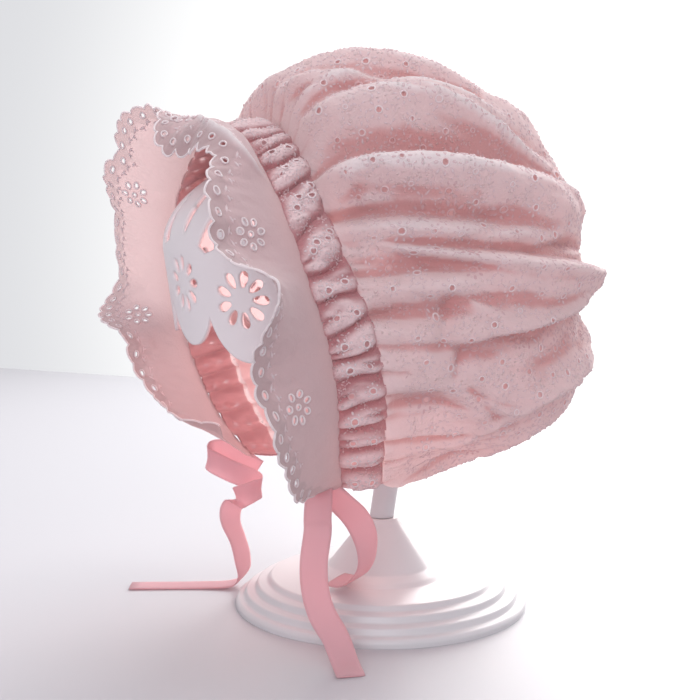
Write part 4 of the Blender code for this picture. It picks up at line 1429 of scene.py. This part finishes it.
# %% Waves of the brim
BRIM_WAVES = table(
    "angle flare width arch",
    (-149, -42, 34, 0),
    (-140, -28, 42, 0),
    (-131, -24, 42, 0),
    (-120, -20, 42, 0),
    (-109, -18, 42, 0),
    (-101, -20, 42, 0),
    (-97, -10, 42, 0),
    (-92, 20, 42, 0),
    (-88, 46, 42, 0),
    (-83, 64, 42, 0),
    (-72, 64, 42, 0),
    (-62, 62, 42, 0),
    (-55, 52, 42, 0),
    (-49, 45, 42, 0),
    (-46, 46, 42, 0),
    (-41, 47, 37, 0),
    (-36, 45, 40, 0),
    (-28, 42, 40, 0),
    (-20, 40, 34, 1),
    (-14, 36, 28, 2),
    (-9, 25, 26, 3),
    (-4, 2, 29, 3),
    (0, -13, 33, 4),
    (5, -22, 34, 6),
    (11, -25, 31, 9),
    (19, -20, 27, 11),
    (26, -9, 26, 11),
    (33, 4, 26, 10),
    (40, 14, 28, 7),
    (46, 15, 34, 4),
    (53, 15, 39, 2),
    (60, 16, 41, 0),
    (70, 12, 42, 0),
    (75, 22, 42, 0),
    (80, 44, 42, 0),
    (85, 42, 42, 0),
    (92, 30, 42, 0),
    (99, 16, 42, 0),
    (106, 14, 42, 0),
    (113, 24, 42, 0),
    (120, 29, 42, 0),
    (124, 31, 39, 0),
    (127, 31, 37, 0),
    (131, 31, 35, 0),
    (134, 32, 34, 0),
    (137, 32, 31, 0),
    (140, 29, 26, 0),
    (143, 23, 21, 0),
    (146, 14, 16, 0),
    (149, 0, 12, 0),
)
print("the brim is up to", BRIM_WAVES["width"].max(), "mm wide")

# %% Pleat, edge and rosettes
BRIM_PLEAT = table(
    "angle out height",
    (-7, 28, 0),
    (-4, 22, 1.5),
    (2, 12, 2.0),
    (12, 14, 2.2),
    (20, 16, 2.2),
    (30, 17, 2.2),
    (38, 15, 2.0),
    (42, 9, 1.4),
    (45, 3, 0),
)
RIPPLE = 1.4  # the height of the voile's soft unevenness
SCALLOPS = 60
SCALLOP_DEPTH = 2.2
SCALLOP_COLUMNS = 10
BRIM_ROWS = 46
BRIM_SPACING = 1.0
EYELET_WIDTH = 2.1
EYELET_LENGTH = 3.2
EYELET_INSET = 5.4
BORDER = 9.6  # how far in from the edge the dense stitching reaches
LEAF_INSET = 10.4
LEAVES_END = 130  # the angle up to which the border has its leaves
SEAM_LAP = 1.2  # how far the brim runs in under the band
ROSETTES_AT = (10.4, 20.9, 31.0, 41.3, 51.6)  # counted in scallops along the edge
ROSETTE_INSET = 20.6
ROSETTE_HOLES = 7
BRIM_STEP = (0.05, 0.05)
print("scallops along the edge:", SCALLOPS)


# %% Brim surface
def brim_width(angle):
    """How far the brim reaches from its seam, without its scallops."""
    return curve(BRIM_WAVES, "width", angle)


def brim_pleat(angle, out):
    """The sharp ridge where the brim is folded back over the top of the opening."""
    apart = np.abs(out - curve(BRIM_PLEAT, "out", angle)) / 1.7
    first, last = BRIM_PLEAT["angle"][[0, -1]]
    height = np.where((angle > first) & (angle < last), curve(BRIM_PLEAT, "height", angle), 0)
    return height * np.exp(-(apart**1.3))


def brim_cloth(angle, out):
    """A point on the brim: out millimetres from its seam, in a direction that turns further
    from straight ahead the further out it is."""
    base = ring_point(FACE_LINE, angle, False) - [0, SEAM_GAP, 0]
    share = out / brim_width(angle)
    arch = curve(BRIM_WAVES, "arch", angle) * np.sin(np.pi * share)
    arch = arch + brim_pleat(angle, out)
    ripple = hills(angle / 4.5 + 80, out / 12, 41) + 0.4 * hills(angle / 1.8 + 9, out / 5, 42)
    arch = arch + RIPPLE * ripple * share
    flare = np.radians(curve(BRIM_WAVES, "flare", angle) * (0.55 + 0.45 * share))[..., None]
    ahead = np.array([0.0, -1.0, 0.0])
    turn = np.cos(flare) * ahead + np.sin(flare) * outward(angle)
    rise = np.cos(flare) * outward(angle) - np.sin(flare) * ahead
    return base + turn * np.asarray(out)[..., None] + rise * arch[..., None]


# %% Places along the edge
def edge_angles(count):
    """Angles that divide the brim's waved edge into equal lengths, and that length."""
    fine = np.linspace(-CORNER, CORNER, 4001)
    gone = length_gone(brim_cloth(fine, brim_width(fine)))
    return np.interp(np.linspace(0, gone[-1], count + 1), gone, fine), gone[-1] / count


def brim_places(count, inset, corner):
    """Places spaced evenly along the edge and set in from it, up to an angle near the corner."""
    angle = edge_angles(count * 2)[0][1::2]
    places = np.column_stack([angle, brim_width(angle) - inset])
    return places[np.abs(angle) < corner]


def rosette_places():
    """The middles of the rosettes: in from the edge, but no further than the brim's middle."""
    angle, _ = edge_angles(600)
    angle = np.interp(np.array(ROSETTES_AT) / SCALLOPS * 600, np.arange(601), angle)
    width = brim_width(angle)
    return np.column_stack([angle, width - np.minimum(ROSETTE_INSET, width * 0.52)])


BRIM_EYELETS = brim_places(SCALLOPS, EYELET_INSET, CORNER - 7)
ROSETTES = rosette_places()
ROSETTE = [
    oval(0.85, 0.85, sides=10),
    *ring_of_ovals(ROSETTE_HOLES, reach=5.5, half_long=1.35, half_wide=0.95, sides=12),
]
print("brim:", len(BRIM_EYELETS), "eyelets and", len(ROSETTES), "rosettes")


# %% Brim
def make_brim():
    """The voile, pierced and waved. Its grid has ten columns to a scallop, and the last row
    follows the scallops: each is a sine, raised to 0.7 to make its bow fuller."""
    angle, step = edge_angles(SCALLOPS * SCALLOP_COLUMNS)
    phase = np.arange(len(angle)) % SCALLOP_COLUMNS / SCALLOP_COLUMNS
    depth = SCALLOP_DEPTH * np.clip((CORNER - np.abs(angle)) / 6, 0, 1)
    width = brim_width(angle) - depth * (1 - np.sin(np.pi * phase) ** 0.7)
    v = np.linspace(0, 1, BRIM_ROWS)[:, None] * (width + SEAM_LAP) - SEAM_LAP
    u = np.broadcast_to(angle, v.shape)
    hole = oval(EYELET_LENGTH / 2, EYELET_WIDTH / 2)
    holes = holes_at(brim_cloth, BRIM_EYELETS, [[hole]] * len(BRIM_EYELETS), BRIM_STEP)
    holes += holes_at(brim_cloth, ROSETTES, [ROSETTE] * len(ROSETTES), BRIM_STEP)
    u, v, faces = pierce(u, v, holes, BRIM_SPACING)
    uv = np.stack([np.broadcast_to(np.arange(len(angle)) * step, u.shape), v], -1)
    # Painted shade near the seam, the border's thick thread, and a painted highlight on the pleat.
    marks = {
        "hollow": np.clip(0.5 - v / 24, 0, 1),
        "thick_thread_and_rim_shade": np.clip((v - (width - BORDER - 1.2 * np.sin(2 * np.pi * phase))) / 1.2, 0, 1),
        "crest": 0.75 * np.clip(brim_pleat(u, v) / 1.8, 0, 1) ** 1.5,
    }
    faces, points, uv, *values = used_only(
        [f[:, ::-1] for f in faces], brim_cloth(u, v), uv, *marks.values())
    made = make_mesh("brim_cloth", points, faces, BRIM_CLOTH, "brim", uv,
                     dict(zip(marks, values)))
    print("brim:", sum(map(len, faces)), "faces, edge", round(step * (len(angle) - 1)), "mm")
    return made, brim_cloth(angle, width)


BRIM, BRIM_EDGE = make_brim()


# %% Brim embroidery
EDGE_CORD = 0.55
CORD_SIDES = 6


def edge_cord():
    """A cord bound over the scalloped edge: a hexagonal tube round the line of the edge."""
    way = unit(np.gradient(BRIM_EDGE, axis=0))
    smooth_way = unit(way + np.roll(way, 3, 0) + np.roll(way, -3, 0))
    aside = unit(np.cross(smooth_way, [0.3, 0.2, 1.0]))
    over = np.cross(smooth_way, aside)
    turn = np.arange(CORD_SIDES) / CORD_SIDES * 2 * np.pi
    ring = aside[:, None] * np.cos(turn)[:, None] + over[:, None] * np.sin(turn)[:, None]
    points = (BRIM_EDGE[:, None] + EDGE_CORD * ring).reshape(-1, 3)
    gone = np.arange(len(BRIM_EDGE))[:, None] * np.ones(CORD_SIDES)
    uv = np.stack([gone, turn * np.ones_like(gone), 0 * gone + 1], -1).reshape(-1, 3) * STITCH_UV
    return points, uv, [grid_faces(len(BRIM_EDGE), CORD_SIDES, closed=True)]


def make_brim_stitching():
    """Rings, leaves and rosettes on both faces of the brim, and the cord of its edge."""
    leaves = brim_places(SCALLOPS * 2, LEAF_INSET, LEAVES_END)
    odd = np.arange(len(leaves)) % 2
    leaves[:, 1] += np.where(odd, 0.5, -0.9)
    tilt = np.where(odd, 24, -24) + np.random.default_rng(8).uniform(-9, 9, len(leaves))
    clear = far_from(brim_cloth, leaves, ROSETTES, 9)
    ring = bound_ring(oval(EYELET_LENGTH / 2, EYELET_WIDTH / 2, sides=12), 0.75, 0.5)
    pair = gather_shapes(leaf(-2.4, 2.4, 0.8, 0.5, 0), leaf(0.4, 2.6, 0.55, 0.4, -62))
    rosette = gather_shapes(*[bound_ring(outline, 0.8, 0.6) for outline in ROSETTE])
    patterns = [
        (BRIM_EYELETS, ring, np.zeros(len(BRIM_EYELETS)), 1.0),
        (leaves[clear], pair, tilt[clear], 0.95),
        (ROSETTES, rosette, np.zeros(len(ROSETTES)), 1.0),
    ]
    laid = [
        lay_shapes(brim_cloth, places, shape, turns, np.full(len(places), size), BRIM_STEP, side, 0.04)
        for side in (1, -1) for places, shape, turns, size in patterns
    ]
    return make_stitching("brim_embroidery", [edge_cord(), *laid])


BRIM_STITCHES = make_brim_stitching()

# %% [markdown]
# ## The cloth as it was cut
#
# The crown and its lining are each cut as one wide piece and gathered into the band. The band and
# its casing are long strips drawn up by the elastic, and the brim is one more strip, sewn in with
# no gathers at its edge. Each piece's flat size in metres is listed, and its area is printed beside
# the area cut.

# %% Cloth sizes
CUT_SIZES = [
    (CROWN, (0.27, 0.45), [CROWN_STITCHES]),
    (CROWN_LINING, (0.27, 0.43), []),
    (BAND, (0.028, 0.46), [BAND_STITCHES]),
    (CASING, (0.028, 0.44), []),
    (BRIM, (0.042, 0.52), [BRIM_STITCHES]),
]
for cloth, flat, pieces in CUT_SIZES:
    area = sum(p.area for p in cloth.data.polygons)
    print(cloth.name, "has", round(area * 1e4), "cm2 of", round(flat[0] * flat[1] * 1e4), "cut")

# %% [markdown]
# ## The stand
#
# The base and the stem are turned shapes: a profile carried round an axis, with the corners of
# the base rounded, because that is how such smooth round pieces are drawn and moulded. The stem
# leans back a little from the base.

# %% Turned parts
BASE_RINGS = table(
    "radius z",
    (75.0, 0.0),
    (75.0, 2.4),
    (73.6, 4.0),
    (70.8, 4.4),
    (69.6, 7.6),
    (65.0, 8.2),
    (63.8, 11.4),
    (58.8, 12.0),
    (57.0, 14.6),
    (34.5, 15.2),
    (32.0, 17.2),
    (27.0, 19.6),
    (21.5, 26.5),
    (16.5, 33.0),
    (11.5, 40.0),
    (9.0, 44.0),
)
STEM_FOOT = 40.0
STEM_RADIUS = 6.3
STEM_LEAN = np.array([0.072, 0.125]) / 0.990
TURNED_SIDES = 144
BASE_FILLET = 0.9
SHARP = 40.0  # an edge that turns more than this stays sharp


def rounded_profile(radius, height, fillet):
    """A profile whose corners are rounded: each becomes a short curve of five points that
    starts and ends a fillet away from it."""
    p = np.stack([radius, height], 1)
    points = [p[:1]]
    for before, corner, after in zip(p[:-2], p[1:-1], p[2:]):
        cut = [min(fillet, np.linalg.norm(q - corner) / 2.2) * unit(q - corner) for q in (before, after)]
        t = np.linspace(0, 1, 5)[:, None]
        points.append(corner + cut[0] * (1 - t) ** 2 + cut[1] * t**2)
    return np.concatenate([*points, p[-1:]])


def make_turned(name, node_name, profile, lean=(0.0, 0.0)):
    """A closed solid: a profile of radii and heights carried round an upright axis that may
    lean."""
    turn = np.arange(TURNED_SIDES) / TURNED_SIDES * 2 * np.pi
    radius, height = profile.T
    rings = np.stack([np.outer(radius, np.cos(turn)), np.outer(radius, np.sin(turn)),
                      np.repeat(height[:, None], TURNED_SIDES, 1)], -1)
    rings[..., :2] += (height - STEM_FOOT)[:, None, None] * lean
    points = np.vstack([rings.reshape(-1, 3), rings[[0, -1]].mean(1)])
    c = np.arange(TURNED_SIDES)
    top = (len(height) - 1) * TURNED_SIDES
    floor = np.stack([(c + 1) % TURNED_SIDES, c, np.full_like(c, len(points) - 2)], 1)
    lid = np.stack([top + c, top + (c + 1) % TURNED_SIDES, np.full_like(c, len(points) - 1)], 1)
    faces = [grid_faces(len(height), TURNED_SIDES, closed=True), floor, lid]
    made = make_mesh(name, points, faces, SHADED_STAND_PLASTIC, node_name)
    made.data.set_sharp_from_angle(angle=np.radians(SHARP))
    return made


low, high = (corner[2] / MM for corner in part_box("stand_stem"))
make_turned("base", "stand_base", rounded_profile(BASE_RINGS["radius"], BASE_RINGS["z"], BASE_FILLET))
make_turned("stem", "stand_stem", np.array([(STEM_RADIUS, z) for z in (low, (low + high) / 2, high)]),
            STEM_LEAN)
print("stem from", round(low, 1), "to", round(high, 1), "mm")

# %% [markdown]
# ## The openwork dome
#
# The dome that fills the cap is moulded in one piece: twelve round lobes with a pierced rosette
# each, and straps that rise from them to the top. Its form is a rounded box whose rim tilts, and
# it leans back to meet the stem. It is a single surface, pierced in the same way as the cloth,
# and a Solidify modifier gives its wall, so that petals and slots show the moulding's thickness.

# %% Dome's form
HEAD_CENTRE = np.array([-5.0, -19.0])
HEAD_HALF_WIDTH = 70.0
HEAD_FRONT = 91.0
HEAD_BACK = 66.0
HEAD_SQUARENESS = 2.4
HEAD_TILT = np.array([-0.145, -0.126])  # how much the rim rises for each millimetre in x and in y
HEAD_FULLNESS = 2.4
HEAD_DRIFT = 2.0  # how late the middle leans over towards the stem's line: 1 would be evenly
HEAD_WIDEST_Z = 168.0
HEAD_HEIGHT = 95.0
HEAD_WALL = 2.2
HEAD_EASE = 0.4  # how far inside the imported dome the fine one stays
HEAD_FAR_SHARE = 0.96  # the far half is a little narrower, to stay clear of the band
LOBES = 12
LOBE_TURN = 0.10  # how far round the first lobe stands, in lobes
LOBE_Z = 152.6  # the middle of a lobe's round lower edge
LOBE_RADIUS = 25.0
LOBE_COLUMNS = 34
LOBE_ROWS = 48
STRAP_ROWS = 44
STRAPS_FROM = 181.0  # the height at which the lobes end and the straps begin
ROSETTE_PETALS = 9
ROSETTE_Z, SLOT_Z, WINDOW_Z = 155.5, 200.5, 189.0
LOBE_SPREAD = 1.9  # how much of a lobe's round lower edge is used, side to side
PETAL_SPACING = 1.15  # about how far apart the grid's points are beside a petal
WIDE_SPACING = 1.6  # and beside a slot or a window
WINDOW = np.array([(0, 15.5), (-5.6, -10.5), (0, -13.5), (5.6, -10.5)])


def head_plan(share):
    """The dome's plan at a share of the way round its rim: a rounded box, longer in front and
    a little narrower on the far side."""
    turn = np.linspace(-np.pi, np.pi, 721)
    power = 2 / HEAD_SQUARENESS
    x = np.sign(np.sin(turn)) * np.abs(np.sin(turn)) ** power * (HEAD_HALF_WIDTH - HEAD_EASE)
    y = np.sign(np.cos(turn)) * np.abs(np.cos(turn)) ** power
    y = -y * (np.where(y > 0, HEAD_FRONT, HEAD_BACK) - HEAD_EASE)
    x = x * np.where(x < 0, HEAD_FAR_SHARE, 1)
    gone = length_gone(np.stack([x, y], -1))
    at = (share + 0.5) % 1 * gone[-1]
    return np.stack([np.interp(at, gone, x), np.interp(at, gone, y)], -1)


def dome_point(lobe, z):
    """A point on the dome: lobe counts lobes round its rim, and z is where the point would be
    on a level dome of the usual height."""
    rise_to_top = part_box("stand_head")[1][2] / MM - HEAD_WIDEST_Z - HEAD_EASE
    up = np.clip((z - HEAD_WIDEST_Z) / HEAD_HEIGHT, 0, 1)
    down = np.clip((HEAD_WIDEST_Z - z) / HEAD_HEIGHT, 0, 1)
    share = (1 - up**HEAD_FULLNESS) ** 0.5 - 0.15 * down
    across = head_plan((lobe + LOBE_TURN) / LOBES) * share[..., None]
    top = STEM_LEAN * (HEAD_WIDEST_Z + rise_to_top - STEM_FOOT)
    middle = HEAD_CENTRE + (top - HEAD_CENTRE) * (up**HEAD_DRIFT)[..., None]
    rise = across @ HEAD_TILT * (1 - up) + up * (rise_to_top - HEAD_HEIGHT)
    return np.concatenate([middle + across, (z + rise)[..., None]], -1)


print("a lobe's rosette is at", dome_point(np.array([0.0]), np.array([ROSETTE_Z])).round(1))


# %% Dome
def dome_holes():
    """The openings of the dome: for each lobe a rosette of petals, a slot between its straps,
    and a window between it and the next lobe; and each one's spacing."""
    petals = ring_of_ovals(ROSETTE_PETALS, reach=9.3, half_long=4.1, half_wide=2.15, sides=16,
                           first=90, egg=-0.28)
    outlines = [petals, [oval(18.0, 2.9, 90, 24)], [WINDOW]]
    holes = []
    for lobe in range(LOBES):
        places = np.array([(lobe, ROSETTE_Z), (lobe, SLOT_Z), (lobe + 0.5, WINDOW_Z)])
        holes += holes_at(dome_point, places, outlines, (0.01, 0.1))
    return holes, ([PETAL_SPACING] * ROSETTE_PETALS + [WIDE_SPACING] * 2) * LOBES


def make_dome():
    """The openwork moulding: rows from the round lower edge of the lobes up to where the straps
    begin, and then rows that lie closer and closer together to the top."""
    lobe = np.arange(LOBES * LOBE_COLUMNS) / LOBE_COLUMNS - 0.5
    t = (lobe + 0.5) % 1 - 0.5
    edge = LOBE_Z - np.sqrt(LOBE_RADIUS**2 - (t * LOBE_SPREAD * LOBE_RADIUS) ** 2)
    top = HEAD_WIDEST_Z + HEAD_HEIGHT
    low = np.linspace(0, 1, LOBE_ROWS + 1)[:-1, None]
    high = np.sin(np.linspace(0.12, 1, STRAP_ROWS + 1) * np.pi / 2)[:-1, None]
    high = (high - high[0]) / (1 - high[0])
    v = np.concatenate([edge + low * (STRAPS_FROM - edge),
                        STRAPS_FROM + high * (top - STRAPS_FROM) + 0 * edge])
    u, v, faces = pierce(np.broadcast_to(lobe, v.shape), v, *dome_holes(), LOBES)
    row = np.broadcast_to(np.arange(len(v))[:, None], v.shape)
    faces, points, row = used_only(faces, dome_point(u, v), row)
    points = np.vstack([points, dome_point(np.array([0.0]), np.array([top]))])
    made = make_mesh("dome", points, [*faces, closing_fan(row)], WHITE_PLASTIC,
                     "stand_head")
    wall = made.modifiers.new("wall", "SOLIDIFY")
    wall.thickness = HEAD_WALL * MM
    wall.offset = -1.0
    print("dome:", sum(map(len, faces)), "faces")


make_dome()

# %% [markdown]
# ## Light and floor
#
# The cap stands on a pale table in front of a bright window. A large soft light behind it makes
# the thin cloth glow and rims its crests, along with the painted highlight on them; one above
# stands for the sky, and a weak one beside the camera fills the near side. A small warm lamp in
# the middle of the cap stands for the light that the thin cloth passes to and fro inside it. The
# world's pale light does the rest.


# %% Lamps
WINDOW_WAY = (-0.60, 0.80, 0.0)
WINDOW_WHITE = (1.25, 1.25, 1.24)
WALL_WHITE = (0.74, 0.745, 0.77)
ROOM_GREY = (0.42, 0.42, 0.45)
TABLE_GREY = (0.51, 0.50, 0.53)
TABLE_EDGE = [(-2445, -476), (1322, 1676)]  # the table's far edge, in millimetres
TABLE_NEAR = [(4500, -1500), (500, -5000), (-3500, -3500)]
LAMP_AIM = (0, 0, 0.15)
LAMPS = [  # name, place and size in metres, watts and colour
    ("window", (-0.75, 1.05, 0.75), 1.2, 26, (1.0, 0.99, 0.97)),
    ("sky", (-0.15, 0.25, 1.45), 1.3, 14, (1.0, 0.99, 0.98)),
    ("fill", (0.9, -0.8, 0.6), 1.0, 7, (0.96, 0.97, 1.0)),
]
GLOW_PLACE = (0, 0.005, 0.175)
GLOW_RADIUS = 0.045
GLOW_WATTS = 0.22
GLOW_COLOUR = (1.0, 0.68, 0.63)


def make_lamp(name, kind, place, watts, colour):
    """A lamp of that kind, at a place in metres."""
    data = bpy.data.lights.new(name, kind)
    data.energy = watts
    data.color = colour
    return place_object(name, data, place)


def make_lamps():
    """The square soft lights, turned towards the cap, and the warm lamp inside it."""
    for name, place, size, watts, colour in LAMPS:
        made = make_lamp(name, "AREA", place, watts, colour)
        made.data.shape = "SQUARE"
        made.data.size = size
        away = Vector(np.array(place) - np.array(LAMP_AIM))
        made.rotation_euler = away.to_track_quat("Z", "Y").to_euler()
    glow = make_lamp("glow", "POINT", GLOW_PLACE, GLOW_WATTS, GLOW_COLOUR)
    glow.data.shadow_soft_size = GLOW_RADIUS
    glow.visible_camera = False


# %% Floor and room
def make_floor():
    """The table top, cut off where its far edge shows against the window."""
    mesh = bpy.data.meshes.new("table_top")
    corners = [(x * MM, y * MM, 0) for x, y in TABLE_EDGE + TABLE_NEAR]
    mesh.from_pydata(corners, [], [list(range(len(corners)))[::-1]])
    pale, _, shader = new_material("pale_table")
    shader.inputs["Base Color"].default_value = (*TABLE_GREY, 1)
    shader.inputs["Roughness"].default_value = 0.5
    mesh.materials.append(pale)
    place_object("table_top", mesh)


def make_world():
    """A pale room: white towards the window behind the cap, and a dimmer grey in front."""
    world = bpy.data.worlds.new("pale_room")
    world.use_nodes = True
    tree = world.node_tree
    way = node(tree, "TexCoord").outputs["Generated"]
    facing = node(tree, "VectorMath", operation="DOT_PRODUCT", Vector=way)
    facing.inputs[1].default_value = WINDOW_WAY
    wall = mix(tree, ramp(tree, facing.outputs["Value"], -0.2, 0.7), ROOM_GREY, WALL_WHITE)
    bright = ramp(tree, facing.outputs["Value"], 0.74, 0.93)
    feed(tree, tree.nodes["Background"].inputs["Color"], mix(tree, bright, wall, WINDOW_WHITE))
    bpy.context.scene.world = world


bpy.context.scene.view_settings.view_transform = "Standard"
make_world()
make_floor()
make_lamps()
print("lamps:", [name for name, *_ in LAMPS], "and a glow")
